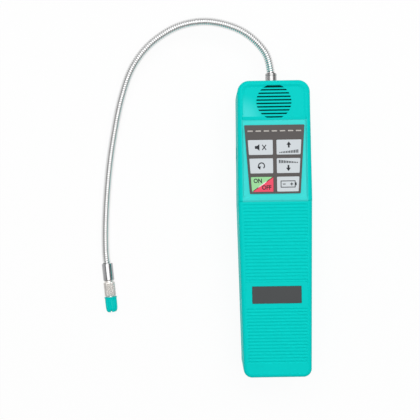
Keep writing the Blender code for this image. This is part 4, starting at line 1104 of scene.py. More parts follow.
@dataclass
class Fasteners(Assembly):
    """The screws, each with a cross in its head."""

    housing_screws: int = 4
    board_screws: int = 2
    head_radius: float = 2.8 * MM
    head_height: float = 1.8 * MM
    shank: float = 1.3 * MM
    cross: Point = (1.5 * MM, 0.35 * MM)

    def build(self) -> None:
        """Models each screw in the place of its solid."""
        names = [f"housing_screw_{i + 1}" for i in range(self.housing_screws)]
        names += [f"board_screw_{i + 1}" for i in range(self.board_screws)]
        for node in names:
            self.screw(node)

    def screw(self, node: str) -> None:
        """One screw: a domed head, a cross recess and a threaded shank."""
        low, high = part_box(node)
        bench, middle = self.bench, (low + high) / 2
        length = high.z - low.z
        levels = [
            (self.head_radius - 0.9 * MM, 0), (self.head_radius - 0.35 * MM, 0.15 * MM),
            (self.head_radius, 0.6 * MM), (self.head_radius, self.head_height),
        ]
        pitch = 0.9 * MM
        turns = int((length - self.head_height - MM) / pitch)
        for i in range(turns):
            z = self.head_height + i * pitch
            levels += [(self.shank - 0.25 * MM, z + 0.01 * MM), (self.shank, z + 0.45 * MM)]
        levels += [(self.shank - 0.25 * MM, length - 0.8 * MM), (0.3 * MM, length)]
        piece = bench.lathe(f"{node}_turned", levels, 24)
        long, thin = self.cross
        arms = [
            bench.block("arm_tool", (-long, -thin, -MM), (long, thin, 0.9 * MM)),
            bench.block("arm_tool", (-thin, -long, -MM), (thin, long, 0.9 * MM)),
        ]
        bench.combine(piece, arms)
        bench.move(piece, Matrix.Translation((middle.x, middle.y, low.z)))
        bench.smooth(piece)
        self.dress(piece, Finishes.STEEL, "housing", "steel", [node])


@dataclass
class Keypad(Assembly):
    """The membrane keypad: overlay, keys with their signs, and signal lights."""

    top_y: float = 80.0 * MM
    bottom_y: float = 27.2 * MM
    top_half: float = 23.1 * MM
    bottom_half: float = 19.5 * MM
    low: float = 42.6 * MM
    high: float = 43.2 * MM
    key_top: float = 43.45 * MM
    key_thickness: float = 0.6 * MM
    gap: float = 0.12 * MM
    key_height: float = 11.5 * MM
    key_pitch: float = 14.2 * MM
    first_key_y: float = 62.8 * MM
    middle_gap: float = 1.4 * MM
    side_margin: float = 1.7 * MM
    key_corner: float = 0.7 * MM
    slant_gap: float = 0.5 * MM
    lights: int = 7
    light_pitch: float = 6.2 * MM
    light_y: float = 75.4 * MM
    light_half: Point = (2.1 * MM, 0.55 * MM)
    rows: tuple[tuple[str, str], ...] = (
        ("mute", "sensitivity_up"), ("reset", "sensitivity_down"), ("power", "battery_test")
    )

    @classmethod
    def pad_half(cls, y: float) -> float:
        """Half the keypad's width at a height up the face."""
        share = (y - cls.bottom_y) / (cls.top_y - cls.bottom_y)
        return cls.bottom_half + share * (cls.top_half - cls.bottom_half)

    @classmethod
    def pad_corners(cls, margin: float) -> list[Point]:
        """The keypad's corners, moved inwards by a margin."""
        low, high = cls.bottom_y + margin, cls.top_y - margin
        left, right = cls.pad_half(low) - margin, cls.pad_half(high) - margin
        return [(-left, low), (left, low), (right, high), (-right, high)]

    def key_corners(self, row: int, side: int, grow: float = 0.0) -> list[Point]:
        """A key's corners: the inner edge is upright and the outer one leans with the keypad.

        Args:
            row: Its row, from the top.
            side: -1 on the left and 1 on the right.
            grow: How far the corners are moved outwards.

        Returns:
            The four corners, counter-clockwise from the lower left.
        """
        middle = self.first_key_y - row * self.key_pitch
        low, high = middle - self.key_height / 2 - grow, middle + self.key_height / 2 + grow
        inner = self.middle_gap - grow
        outer = [self.pad_half(y) - self.side_margin + grow for y in (low, high)]
        if side > 0:
            return [(inner, low), (outer[0], low), (outer[1], high), (inner, high)]
        return [(-outer[0], low), (-inner, low), (-inner, high), (-outer[1], high)]

    def build(self) -> None:
        """Models the overlay, the keys and the lights, and draws the signs."""
        bench = self.bench
        overlay = bench.plate("overlay_sheet", self.pad_corners(0), self.low, self.high, 0.6 * MM, 0.15 * MM)
        windows = []
        for row, names in enumerate(self.rows):
            for name, side in zip(names, (-1, 1)):
                corners = self.key_corners(row, side, self.gap)
                heights = (self.low - MM, self.high + MM)
                windows.append(bench.plate("window_tool", corners, *heights, self.key_corner))
                self.key(name, row, side)
        xs = [(i - (self.lights - 1) / 2) * self.light_pitch for i in range(self.lights)]
        long, wide = self.light_half
        for i, x in enumerate(xs):
            hole = (long + self.gap, wide + self.gap)
            low = (x - hole[0], self.light_y - hole[1], self.low - MM)
            high = (x + hole[0], self.light_y + hole[1], self.high + MM)
            windows.append(bench.block("window_tool", low, high))
            node = f"signal_light_{i + 1}"
            bottom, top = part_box(node)
            corners = [(bottom.x, bottom.y), (top.x, bottom.y), (top.x, top.y), (bottom.x, top.y)]
            lens = bench.plate(f"light_lens_{i + 1}", corners, bottom.z, self.high, 0.12 * MM, 0.1 * MM, 3)
            bench.smooth(lens)
            self.dress(lens, Finishes.LIGHT, "housing", "lights", [node])
        bench.combine(overlay, windows)
        bench.smooth(overlay)
        self.dress(overlay, Finishes.OVERLAY, "housing", "overlay", ["keypad_overlay"])
        self.paint_nodes(Finishes.FILM, "keypad_film")
        self.paint_nodes(Finishes.STEEL, *[f"dome_{name}" for names in self.rows for name in names])

    def key(self, name: str, row: int, side: int) -> None:
        """One key with its sign.

        Args:
            name: What the key does.
            row: Its row, from the top.
            side: -1 on the left and 1 on the right.
        """
        corners = self.key_corners(row, side)
        foot = self.key_top - self.key_thickness
        cap = f"{name}_key_cap"
        piece = self.bench.plate(cap, corners, foot, self.key_top, self.key_corner, 0.2 * MM)
        body = f"{name}_key"
        if name == "power":
            upper, lower = self.halves(piece, Vector(corners[0]), Vector(corners[2]))
            self.dress(upper, Finishes.GREEN, body, "on_green", ["key_power"])
            self.dress(lower, Finishes.RED, body, "off_red", ["key_power_off"])
        else:
            self.bench.smooth(piece)
            self.dress(piece, Finishes.KEY, body, "keys", [f"key_{name}"])
        middle = sum((Vector(corner) for corner in corners), Vector((0, 0))) / len(corners)
        sign = Sign(self.bench, middle, self.key_top).draw(name)
        self.dress(sign, Finishes.INK, body, "keys")

    def halves(self, piece: Piece, start: Vector, end: Vector) -> list[Piece]:
        """Cuts a key cap from corner to corner.

        Args:
            piece: The whole cap.
            start: The corner that the cut starts at.
            end: The corner that it ends at.

        Returns:
            The upper left half and the lower right one.
        """
        bench, run = self.bench, end - start
        low = (-run.length, -self.slant_gap / 2, self.key_top - 2 * MM)
        slit = bench.block("slit_tool", low, (run.length, self.slant_gap / 2, self.key_top + MM))
        turn = Matrix.Rotation(math.atan2(run.y, run.x), 4, "Z")
        bench.combine(piece, [bench.move(slit, Matrix.Translation(((start + end) / 2).to_3d()) @ turn)])
        with bench.editing(piece):
            bpy.ops.mesh.select_all(action="SELECT")
            bpy.ops.mesh.separate(type="LOOSE")
        found = bpy.context.selected_objects
        parts = sorted(found, key=lambda part: min(corner[0] for corner in part.bound_box))
        for part, name in zip(parts, ("power_key_cap_on", "power_key_cap_off")):
            part.name = name
            bench.smooth(part)
        return parts


@dataclass
class Sign:
    """A sign printed on a key, drawn from bars, rings, arrowheads and letters."""

    bench: Bench
    middle: Vector
    face: float
    thickness: float = 0.02 * MM
    sunk: float = 0.05 * MM

    def bar(self, x: float, y: float, width: float, height: float) -> Piece:
        """A bar about a point, in millimetres from the key's middle."""
        x, y = self.middle.x + x * MM, self.middle.y + y * MM
        w, h = width * MM / 2, height * MM / 2
        corners = [(x - w, y - h), (x + w, y - h), (x + w, y + h), (x - w, y + h)]
        return self.bench.plate("sign_bar", corners, self.face - self.sunk, self.face + self.thickness)

    def shape(self, *points: Point) -> Piece:
        """A four-cornered shape, in millimetres from the key's middle."""
        corners = [(self.middle.x + x * MM, self.middle.y + y * MM) for x, y in points]
        return self.bench.plate("sign_shape", corners, self.face - self.sunk, self.face + self.thickness)

    def ring(
        self, x: float, y: float, radius: float, width: float, start: float, end: float
    ) -> list[Piece]:
        """Part of a ring, made of short bars.

        Args:
            x: Its middle, in millimetres from the key's.
            y: The same, up the key.
            radius: Its radius, in millimetres.
            width: How broad its line is, in millimetres.
            start: The angle that it starts at, in degrees.
            end: The angle that it ends at.

        Returns:
            The bars.
        """
        steps = 14
        angles = [math.radians(start + (end - start) * i / steps) for i in range(steps + 1)]
        inner, outer = radius - width / 2, radius + width / 2
        made = []
        for a, b in zip(angles, angles[1:]):
            corners = ((inner, a), (outer, a), (outer, b), (inner, b))
            made.append(self.shape(*((x + r * math.cos(t), y + r * math.sin(t)) for r, t in corners)))
        return made

    def letters(self, text: str, x: float, y: float, height: float) -> Piece:
        """A generic word, as a mesh on the key's face.

        Args:
            text: The word.
            x: Its middle, in millimetres from the key's.
            y: The same, up the key.
            height: The height of its capitals, in millimetres.

        Returns:
            The word.
        """
        bpy.ops.object.select_all(action="DESELECT")
        bpy.ops.object.text_add()
        made = bpy.context.object
        made.data.body = text
        made.data.align_x = "CENTER"
        made.data.align_y = "CENTER"
        made.data.size = height * MM / 0.7
        made.data.extrude = (self.thickness + self.sunk) / 2
        made.data.offset = 0.03 * made.data.size
        made.data.resolution_u = 4
        bpy.ops.object.convert(target="MESH")
        made = bpy.context.object
        height_middle = self.face + (self.thickness - self.sunk) / 2
        place = (self.middle.x + x * MM, self.middle.y + y * MM, height_middle)
        return self.bench.move(made, Matrix.Translation(place) @ Matrix.Diagonal((0.9, 1, 1, 1)))

    def arrow(self, y: float, way: int) -> list[Piece]:
        """A short arrow that points up or down the key."""
        head = self.shape((-1.8, y), (1.8, y), (0.05, y + 2.5 * way), (-0.05, y + 2.5 * way))
        return [head, self.bar(0, y - 1.0 * way, 1.3, 2.2)]

    def bars(self, y: float, rising: bool) -> list[Piece]:
        """A row of bars that grow or shrink to the right, about a height on the key."""
        count, pitch, width = 12, 1.25, 0.8
        low, step, tallest = 0.8, 0.16, 2.6
        made = []
        for i in range(count):
            high = low + step * (i if rising else count - 1 - i)
            made.append(self.bar((i - (count - 1) / 2) * pitch, y + (high - tallest) / 2, width, high))
        return made

    def speaker(self) -> list[Piece]:
        """A speaker beside a cross."""
        parts = [self.bar(-3.6, 0, 1.6, 2.2)]
        parts.append(self.shape((-2.8, -1.1), (-0.9, -2.6), (-0.9, 2.6), (-2.8, 1.1)))
        parts.append(self.shape((1.0, -1.7), (1.5, -2.2), (4.5, 1.7), (4.0, 2.2)))
        return parts + [self.shape((1.0, 1.7), (4.0, -2.2), (4.5, -1.7), (1.5, 2.2))]

    def battery(self) -> list[Piece]:
        """A battery with its minus and plus."""
        parts = [self.bar(0, y, 11.0, 0.6) for y in (-2.4, 2.4)]
        parts += [self.bar(x, 0, 0.6, 5.4) for x in (-5.4, 5.4)]
        parts += [self.bar(6.1, 0, 0.9, 2.2), self.bar(-3.0, 0, 2.2, 0.65)]
        return parts + [self.bar(2.8, 0, 2.3, 0.65), self.bar(2.8, 0, 0.65, 2.3)]

    def draw(self, name: str) -> Piece:
        """Draws a key's sign.

        Args:
            name: The key's name.

        Returns:
            The sign as one piece.
        """
        if name == "mute":
            parts = self.speaker()
        elif name == "reset":
            parts = self.ring(0, 0, 2.3, 0.85, -50, 220)
            parts.append(self.shape((-3.3, -0.7), (-1.1, -3.0), (-0.6, -0.4), (-0.7, -0.3)))
        elif name == "sensitivity_up":
            parts = self.arrow(1.7, 1) + self.bars(-3.2, True)
        elif name == "sensitivity_down":
            parts = self.arrow(-1.7, -1) + self.bars(3.2, False)
        elif name == "power":
            parts = [self.letters("ON", -3.5, 2.6, 3.2), self.letters("OFF", 3.2, -2.6, 3.2)]
        else:
            parts = self.battery()
        return self.bench.join(parts, f"{name}_sign")


@dataclass
class NamePlate(Assembly):
    """The dark plate on the handle, left bare."""

    rim: float = 0.12 * MM

    def build(self) -> None:
        """Models the plate."""
        low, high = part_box("label_plate")
        corners = [(low.x, low.y), (high.x, low.y), (high.x, high.y), (low.x, high.y)]
        plate = self.bench.plate("bare_plate", corners, low.z, high.z, 0.4 * MM, self.rim)
        self.bench.smooth(plate)
        self.dress(plate, Finishes.PLATE, "housing", "label", ["label_plate"])


@dataclass
class NeckRoot(Assembly):
    """The ferrule that the neck leaves the head by, and the cable behind it."""

    bore: float = 3.8 * MM
    radius: float = 4.5 * MM
    flange: float = 6.4 * MM
    exit_z: float = 22.0 * MM
    top: float = 114.5 * MM

    @classmethod
    def exit_tool(cls, bench: Bench) -> Piece:
        """The cutter of the round hole in the head's end."""
        radius = cls.radius + 0.3 * MM
        tool = bench.lathe("exit_tool", [(radius, 104 * MM), (radius, 130 * MM)], 48)
        turn = Matrix.Rotation(-math.pi / 2, 4, "X")
        return bench.move(tool, Matrix.Translation((0, 0, cls.exit_z)) @ turn)

    def build(self) -> None:
        """Turns the ferrule."""
        low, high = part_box("neck_ferrule")
        start, end = low.y, high.y
        seat = self.top - 5.0 * MM
        r, bore, flange = self.radius, self.bore, self.flange
        levels = [
            (r, start), (r, seat), (flange, seat), (flange, seat + 2 * MM), (r, seat + 2 * MM),
            (r, end - 2.4 * MM), (r - 0.25 * MM, end - 2.2 * MM), (r - 0.25 * MM, end - 1.9 * MM),
            (r, end - 1.7 * MM), (r, end - 0.5 * MM), (r - 0.2 * MM, end - 0.1 * MM), (r - 0.4 * MM, end),
            (bore, end), (bore, start),
        ]
        ferrule = self.bench.lathe("turned_ferrule", levels, 48, ring=True)
        turn = Matrix.Translation((0, 0, self.exit_z)) @ Matrix.Rotation(-math.pi / 2, 4, "X")
        self.bench.move(ferrule, turn)
        self.bench.smooth(ferrule)
        metal = TurnedMetal("ferrule_steel", (0.4, 0.4, 0.4), 0.22, 1.0, axis=turn).paint()
        self.dress(ferrule, metal, "housing", "polished_steel", ["neck_ferrule"])
        self.paint_nodes(Finishes.BLACK, "probe_cable")


@dataclass
class Gooseneck(Assembly):
    """The wound neck, bent by hand into its arc, in two lengths that meet at the top of the arc."""

    radius: float = 3.46 * MM
    groove: float = 0.5 * MM
    pitch: float = 1.78 * MM
    roundness: float = 1.8
    sides: int = 24
    start: Place = (0, 109.6 * MM, 22.0 * MM)
    exit: Place = (0, 123.6 * MM, 22.0 * MM)
    bends: tuple[Place, ...] = (
        (-4.6, 141, 21.7), (-19.8, 156.7, 20.7), (-39.4, 165.1, 19.4), (-58.7, 167, 17.8),
        (-78.4, 162.2, 16.1), (-98.3, 149.3, 13.8), (-112.6, 131, 11.6), (-121.6, 107.5, 9.3),
        (-127.4, 83, 7.6), (-132.8, 51.5, 5.9), (-136.2, 15, 5.3),
    )
    crown: int = 5

    def route(self) -> list[Vector]:
        """The points that the neck's middle line passes through."""
        axis = ProbeTip.axis()
        turned = [axis @ Vector((0, 0, along)) for along in (-12 * MM, 7 * MM)]
        return [Vector(self.start), Vector(self.exit), *[Vector(bend) * MM for bend in self.bends], *turned]

    def path(self, name: str, points: Sequence[Vector], before: Vector, after: Vector) -> Piece:
        """A curve through points that leaves and meets its neighbours smoothly.

        Args:
            name: The curve's name.
            points: The points that it passes through.
            before: The point before the first one.
            after: The point after the last one.

        Returns:
            The curve.
        """
        data = bpy.data.curves.new(name, "CURVE")
        data.dimensions = "3D"
        data.resolution_u = 48
        spline = data.splines.new("BEZIER")
        spline.bezier_points.add(len(points) - 1)
        padded = [before, *points, after]
        for knot, last, here, following in zip(spline.bezier_points, padded, padded[1:], padded[2:]):
            pull = (following - last) / 6
            knot.co = here
            knot.handle_left_type = knot.handle_right_type = "FREE"
            knot.handle_left, knot.handle_right = here - pull, here + pull
        made = bpy.data.objects.new(name, data)
        bpy.context.scene.collection.objects.link(made)
        return made

    def winding(self, name: str, length: float) -> Piece:
        """A straight length of the wound tube: one turn's bead, screwed up along Z.

        Args:
            name: The piece's name.
            length: How long it is.

        Returns:
            The tube, closed at both ends.
        """
        bench, steps = self.bench, 8
        data = bpy.data.meshes.new(name)
        bead = []
        for i in range(steps + 1):
            share = abs(2 * i / steps - 1) ** self.roundness
            bead.append((self.radius - self.groove * share, 0, self.pitch * i / steps))
        data.from_pydata(bead, [(i, i + 1) for i in range(steps)], [])
        made = bpy.data.objects.new(name, data)
        bpy.context.scene.collection.objects.link(made)
        bench.take(made)
        bpy.ops.object.modifier_add(type="SCREW")
        screw = made.modifiers[-1]
        screw.axis = "Z"
        screw.screw_offset = self.pitch
        screw.iterations = math.ceil(length / self.pitch) + 2
        screw.steps = screw.render_steps = self.sides
        screw.use_merge_vertices = True
        screw.merge_threshold = NEAR / 20
        bpy.ops.object.modifier_apply(modifier=screw.name)
        with bench.editing(made):
            bpy.ops.mesh.select_all(action="SELECT")
            bpy.ops.mesh.remove_doubles(threshold=NEAR / 4)
            for height, up in ((1.5 * self.pitch, -1), (1.5 * self.pitch + length, 1)):
                bpy.ops.mesh.select_all(action="SELECT")
                cut = {"plane_co": (0, 0, height), "plane_no": (0, 0, up)}
                bpy.ops.mesh.bisect(**cut, use_fill=True, clear_outer=True)
            bpy.ops.mesh.select_all(action="SELECT")
            bpy.ops.mesh.normals_make_consistent(inside=False)
        # how deep each corner lies between two turns, which the neck's painted shade follows
        sunk = [self.radius - corner.co.xy.length for corner in made.data.vertices]
        marks = made.data.attributes.new(Finishes.NECK.value.mark, "FLOAT", "POINT")
        marks.data.foreach_set("value", [min(1.0, depth / self.groove) for depth in sunk])
        return bench.move(made, Matrix.Translation((0, 0, -1.5 * self.pitch)))

    def length(self, name: str, first: int, last: int) -> Piece:
        """One length of the neck, wound straight and then bent along its part of the route.

        Args:
            name: The piece's name.
            first: The point of the route that it starts at.
            last: The point that it ends at.

        Returns:
            The bent tube.
        """
        points = self.route()
        padded = [2 * points[0] - points[1], *points, 2 * points[-1] - points[-2]]
        path = self.path(name + "_path", points[first:last + 1], padded[first], padded[last + 2])
        run = sum(spline.calc_length() for spline in path.data.splines)
        tube = self.winding(name, run)
        self.bench.take(tube)
        bpy.ops.object.modifier_add(type="CURVE")
        bend = tube.modifiers[-1]
        bend.object = path
        bend.deform_axis = "POS_Z"
        bpy.ops.object.modifier_apply(modifier=bend.name)
        bpy.data.objects.remove(path, do_unlink=True)
        self.bench.take(tube)
        bpy.ops.object.shade_smooth_by_angle(angle=math.radians(60))
        return tube

    def build(self) -> None:
        """Models both lengths, gives them the neck's finish and hides the imported neck."""
        points = self.route()
        lower = self.length("neck_lower", 0, self.crown)
        upper = self.length("neck_upper", self.crown, len(points) - 1)
        for piece, bodies, start, end in (
            (lower, ("housing", "probe"), points[1], points[3]),
            (upper, ("probe", "probe_tip"), points[7], points[9]),
        ):
            piece.data.materials.clear()
            piece.data.materials.append(Finishes.NECK.material())
            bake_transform(piece)
            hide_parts("gooseneck")
            self.made.append(piece.name)


@dataclass
class ProbeTip(Assembly):
    """The turned sleeve, knurled barrel, sensor and cap at the neck's end."""

    place: Place = (-135.9 * MM, -27.4 * MM, 5.4 * MM)
    lean: float = 5.1
    sleeve_radius: float = 4.45 * MM
    sleeve_length: float = 13.9 * MM
    spigot_length: float = 4.0 * MM
    spigot_radius: float = 3.6 * MM
    bore: float = 3.8 * MM
    barrel_radius: float = 4.75 * MM
    barrel_length: float = 12.9 * MM
    knurl_starts: int = 20
    knurl_depth: float = 0.4 * MM
    nose_length: float = 5.0 * MM
    nose_radius: float = 3.7 * MM
    sensor_radius: float = 2.4 * MM
    sensor_out: float = 9.0 * MM
    cap_length: float = 12.4 * MM
    cap_radius: float = 4.75 * MM
    cap_lip: float = 5.1 * MM
    cap_mouth: float = 3.75 * MM
    cap_wall: float = 0.75 * MM
    flutes: int = 12
    flute_depth: float = 0.42 * MM
    notches: int = 6
    notch: Point = (1.1 * MM, 2.6 * MM)
    seam: float = 0.3 * MM

    @classmethod
    def axis(cls) -> Matrix:
        """The tip's place and turn: its own +Z runs out to the cap."""
        turn = Matrix.Rotation(math.radians(180 + cls.lean), 4, "Z")
        return Matrix.Translation(cls.place) @ turn @ Matrix.Rotation(-math.pi / 2, 4, "X")

    def build(self) -> None:
        """Models the four pieces and puts them on the neck's end."""
        chrome = TurnedMetal("sleeve_steel", (0.42, 0.42, 0.43), 0.12, 1.0, axis=self.axis()).paint()
        self.finish(self.sleeve(), chrome, "probe_tip", "polished_steel", "tip_sleeve")
        self.finish(self.barrel(), Finishes.NICKEL, "sensor", "nickel", "sensor_barrel", 8)
        self.finish(self.sensor(), Finishes.NICKEL, "sensor", "nickel", "sensor_element")
        self.finish(self.cap(), Finishes.CAP, "protector", "cap", "tip_protector")

    def finish(
        self, piece: Piece, finish: Finishes | Material, body: str, slot: str, node: str, angle: float = 35
    ) -> None:
        """Turns a piece onto the tip's axis, smooths it and dresses it.

        Args:
            piece: The piece, turned about the origin.
            finish: Its finish or material.
            body: The body that it rides on.
            slot: The material slot that it takes its finish from.
            node: The solid that it replaces.
            angle: Up to how many degrees an edge is shaded smooth.
        """
        self.bench.move(piece, self.axis())
        self.bench.smooth(piece, angle)
        self.dress(piece, finish, body, slot, [node])

    def sleeve(self) -> Piece:
        """The polished sleeve with a spigot's socket at one end and the neck's at the other."""
        r, end = self.sleeve_radius, self.sleeve_length
        foot = end - self.spigot_length - self.seam
        socket = self.spigot_radius + self.seam
        levels = [
            (r - 0.4 * MM, 0), (r - 0.1 * MM, 0.15 * MM), (r, 0.5 * MM), (r, end - 0.7 * MM),
            (r - 0.1 * MM, end - 0.35 * MM), (r - 0.35 * MM, end), (socket, end), (socket, foot), (MM, foot),
            (MM, 7.3 * MM), (self.bore, 7.3 * MM), (self.bore, 0),
        ]
        return self.bench.lathe("polished_sleeve", levels, 64, ring=True)

    def barrel(self) -> Piece:
        """The barrel: a neck ring, a band of raised diamonds and a plain nose."""
        bench = self.bench
        start = self.sleeve_length + self.seam
        end = start + self.barrel_length - self.seam
        nose = end + self.nose_length
        r, core = self.barrel_radius, self.sensor_radius + self.seam
        band = (start + 2.0 * MM, end - 0.7 * MM)
        rows = 2 * round((band[1] - band[0]) / (2 * math.pi * r / self.knurl_starts))
        step = (band[1] - band[0]) / rows
        levels = [(r - 0.9 * MM, start), (r - 0.9 * MM, start + 1.1 * MM), (r - 0.35 * MM, start + 1.3 * MM)]
        levels += [(r, band[0] + i * step) for i in range(rows + 1)]
        levels += [(r - 0.5 * MM, end), (self.nose_radius, end), (self.nose_radius, nose), (core, nose)]
        levels += [(core, start - self.spigot_length), (self.spigot_radius, start - self.spigot_length)]
        levels += [(self.spigot_radius, start)]
        made = bench.lathe("knurled_barrel", levels, 2 * self.knurl_starts, ring=True)
        with bench.editing(made):
            def lowered(point: Vector) -> bool:
                """Whether a corner of the band is one of the sunk ones between diamonds."""
                row = (point.z - band[0]) / step
                if not -0.01 < row < rows + 0.01 or point.xy.length < r - NEAR:
                    return False
                side = math.atan2(point.y, point.x) * self.knurl_starts / math.pi
                return (round(row) + round(side)) % 2 == 1
            bench.pick(made, lowered)
            share = 1 - self.knurl_depth / r
            bpy.ops.transform.resize(value=(share, share, 1), center_override=(0, 0, 0))
        with bench.editing(made, "FACE"):
            low, high = band[0] - NEAR, band[1] + NEAR
            bench.pick(made, lambda p: low < p.z < high and p.xy.length > r - MM / 2, "faces")
            bpy.ops.mesh.quads_convert_to_tris(quad_method="SHORTEST_DIAGONAL", ngon_method="BEAUTY")
        return made

    def sensor(self) -> Piece:
        """The sensor's round can with its domed mesh end."""
        start = self.sleeve_length + self.seam
        end = start + self.barrel_length - self.seam
        back = start - self.spigot_length + self.seam
        nose, front = end + self.nose_length, end + self.sensor_out
        r, tip = self.sensor_radius, 2.0 * MM
        levels = [
            (r - 0.2 * MM, back), (r, back + 0.2 * MM), (r, nose + 0.4 * MM), (r - 0.1 * MM, nose + 0.6 * MM),
            (tip, nose + MM), (tip, front - 0.6 * MM), (tip - 0.15 * MM, front - 0.3 * MM),
            (tip - 0.5 * MM, front - 0.05 * MM), (0.4 * MM, front),
        ]
        return self.bench.lathe("sensor_can", levels, 32)

    def cap(self) -> Piece:
        """The cap: a flared lip, lengthwise flutes and a notched mouth."""
        bench = self.bench
        start = self.sleeve_length + self.barrel_length + 2 * self.seam
        end = start + self.cap_length
        taper = end - 4.0 * MM
        bore, mouth = self.nose_radius + self.seam, self.cap_mouth - self.cap_wall
        r, lip = self.cap_radius, self.cap_lip
        levels = [
            (lip - 0.12 * MM, start), (lip, start + 0.15 * MM), (lip, start + 0.7 * MM),
            (lip - 0.15 * MM, start + 0.95 * MM), (r, start + 1.3 * MM), (r, start + 2.4 * MM),
            (r, start + 3.0 * MM), (r, taper - MM), (r - 0.03 * MM, taper),
            (r - 0.17 * MM, taper + 1.5 * MM), (r - 0.45 * MM, taper + 2.8 * MM),
            (self.cap_mouth, end - 0.4 * MM), (self.cap_mouth - 0.25 * MM, end),
            (mouth, end), (bore, taper - MM), (bore, start),
        ]
        made = bench.lathe("vented_cap", levels, 8 * self.flutes, ring=True)
        with bench.editing(made):
            for reach, share in ((1, 1.0), (2, 0.55)):
                def on_flute(point: Vector, reach: int = reach) -> bool:
                    """Whether a corner lies in a flute, at a number of sides from its middle."""
                    if not start + 2.7 * MM < point.z < end - 1.2 * MM or point.xy.length < r - 0.6 * MM:
                        return False
                    side = round(math.atan2(point.y, point.x) * 4 * self.flutes / math.pi) % 8
                    return min(side, 8 - side) == reach - 1
                bench.pick(made, on_flute)
                grow = 1 - share * self.flute_depth / r
                bpy.ops.transform.resize(value=(grow, grow, 1), center_override=(0, 0, 0))
        width, depth = self.notch
        tools = []
        for k in range(self.notches // 2):
            floor = end - depth + width / 2
            slot = bench.block("notch_tool", (-2 * r, -width / 2, floor), (2 * r, width / 2, end + MM))
            bench.bevel(slot, lambda p: p.z < floor + NEAR and abs(p.y) > NEAR, width * 0.49, 4)
            turn = Matrix.Rotation(math.pi * (k + 0.5) / (self.notches // 2), 4, "Z")
            tools.append(bench.move(slot, turn))
        bench.combine(made, tools)
        bench.soften(made, 0.08 * MM, 40)
        return made


@dataclass
class Holster(Assembly):
    """The cup in the left side that the tip is parked in."""

    bore: float = 5.4 * MM
    wall: float = 1.0 * MM

    def build(self) -> None:
        """Turns the cup."""
        low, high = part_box("holster_cup")
        middle = (low + high) / 2
        depth = high.x - low.x
        outer = self.bore + self.wall
        levels = [
            (self.bore, depth - self.wall), (self.bore, 0.7 * MM), (self.bore + 0.2 * MM, 0.3 * MM),
            (self.bore + 0.6 * MM, 0), (outer, 0), (outer, depth),
        ]
        cup = self.bench.lathe("parking_cup", levels, 48)
        turn = Matrix.Translation((low.x, middle.y, middle.z)) @ Matrix.Rotation(math.pi / 2, 4, "Y")
        self.bench.move(cup, turn)
        self.bench.smooth(cup)
        self.dress(cup, Finishes.DARK_TEAL, "housing", "black_plastic", ["holster_cup"])


@dataclass
class Inside(Assembly):
    """What the housing hides: board and speaker."""

    def build(self) -> None:
        """Gives the hidden solids their finishes."""
        for finish, nodes in (
            (Finishes.BOARD, ["circuit_board"]),
            (Finishes.BLACK, ["processor_chip"]),
            (Finishes.BASKET, ["speaker_basket"]),
            (Finishes.CORE, ["transformer"]),
            (Finishes.CAN, ["capacitor"]),
            (Finishes.WHITE, ["cable_socket"]),
            (Finishes.CONE, ["speaker_cone"]),
            (Finishes.STEEL, ["speaker_magnet"]),
        ):
            self.paint_nodes(finish, *nodes)


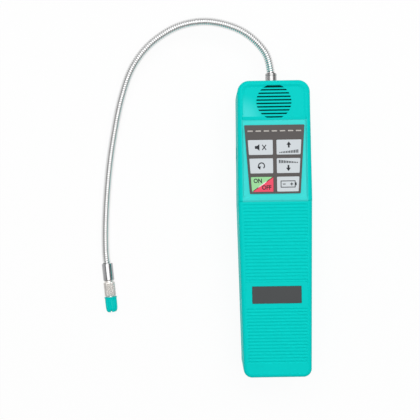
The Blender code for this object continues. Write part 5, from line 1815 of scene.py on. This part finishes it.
@dataclass
class Studio:
    """The pale floor, the soft light and the camera above."""

    camera_place: Place = (-50.4 * MM, 15.4 * MM, 552.2 * MM)
    roll: float = -0.904
    focal_pixels: float = 663.0
    image_pixels: float = 420.0
    sensor: float = 36.0
    floor_half: float = 12.0
    floor_colour: Colour = (0.9, 0.9, 0.9)
    floor_glow: float = 0.92
    room: float = 0.36
    panels: tuple[tuple[str, Place, float, float], ...] = (
        ("softbox", (0.05, 0.2, 1.0), 1.1, 8.5),
        ("left_panel", (-0.85, 0.1, 0.3), 0.6, 0.5),
        ("far_panel", (0.1, 0.95, 0.4), 0.7, 0.9),
    )

    def build(self) -> None:
        """Sets up floor, lights, world and camera."""
        self.floor()
        self.lamps()
        self.world()
        self.camera()
        bpy.context.scene.view_settings.view_transform = "Standard"

    def floor(self) -> None:
        """A pale floor under the detector."""
        bpy.ops.object.select_all(action="DESELECT")
        bpy.ops.mesh.primitive_plane_add(size=2 * self.floor_half, location=(0, 0, -0.2 * MM))
        made = bpy.context.object
        made.name = "studio_floor"
        made.data.materials.append(self.floor_paint())

    def floor_paint(self) -> Material:
        """Pale matt paint that camera and metal see as nearly white, with the shadow kept."""
        finish = Finish("floor_paint", self.floor_colour, 0.8, gloss=0.1, grain=2 * MM, cloud=0.005)
        recipe = finish.recipe()
        kinds = ("Camera", "Glossy", "Transmission")
        rays = [recipe.add("ShaderNodeLightPath", {}, {}, f"Is {kind} Ray") for kind in kinds]
        seen = recipe.math("MINIMUM", rays[0] + rays[1] + rays[2], 1.0) * self.floor_glow
        glow = recipe.add("ShaderNodeEmission", {}, {"Color": (1, 1, 1), "Strength": 1.0})
        plain = Signal(recipe, recipe.shader.outputs[0])
        mixed = recipe.add("ShaderNodeMixShader", {}, {0: seen, 1: plain, 2: glow})
        recipe.feed(recipe.tree.nodes["Material Output"].inputs["Surface"], mixed)
        return recipe.material

    def lamps(self) -> None:
        """A wide softbox overhead, and two low panels on the left and beyond the head."""
        for name, place, size, power in self.panels:
            data = bpy.data.lights.new(name, "AREA")
            data.shape = "SQUARE"
            data.size = size
            data.energy = power
            made = bpy.data.objects.new(name, data)
            bpy.context.scene.collection.objects.link(made)
            made.location = place
            made.rotation_euler = (-Vector(place)).to_track_quat("-Z", "Y").to_euler()
            made.visible_camera = False

    def world(self) -> None:
        """A room that is evenly lit all round."""
        world = bpy.data.worlds.new("room")
        bpy.context.scene.world = world
        world.use_nodes = True
        back = world.node_tree.nodes["Background"]
        back.inputs["Color"].default_value = (1, 1, 1, 1)
        back.inputs["Strength"].default_value = self.room

    def camera(self) -> None:
        """Looks straight down from where the photo was taken."""
        data = bpy.data.cameras.new("camera")
        data.lens = self.sensor * self.focal_pixels / self.image_pixels
        data.sensor_width = self.sensor
        data.clip_start = 0.01
        made = bpy.data.objects.new("camera", data)
        bpy.context.scene.collection.objects.link(made)
        made.location = self.camera_place
        made.rotation_euler = (0, 0, math.radians(self.roll))
        bpy.context.scene.camera = made


ASSEMBLIES = (
    Gooseneck,
    ProbeTip,
    NeckRoot,
    FrontShell,
    RearShell,
    Keypad,
    NamePlate,
    Holster,
    Fasteners,
    Inside,
)


def main() -> None:
    """Builds every assembly in order."""
    logging.basicConfig(level=logging.INFO, format="%(message)s")
    Studio().build()
    bench = Bench()
    for kind in ASSEMBLIES:
        assembly = kind(bench)
        assembly.build()
        assembly.report()


if __name__ == "__main__":
    main()
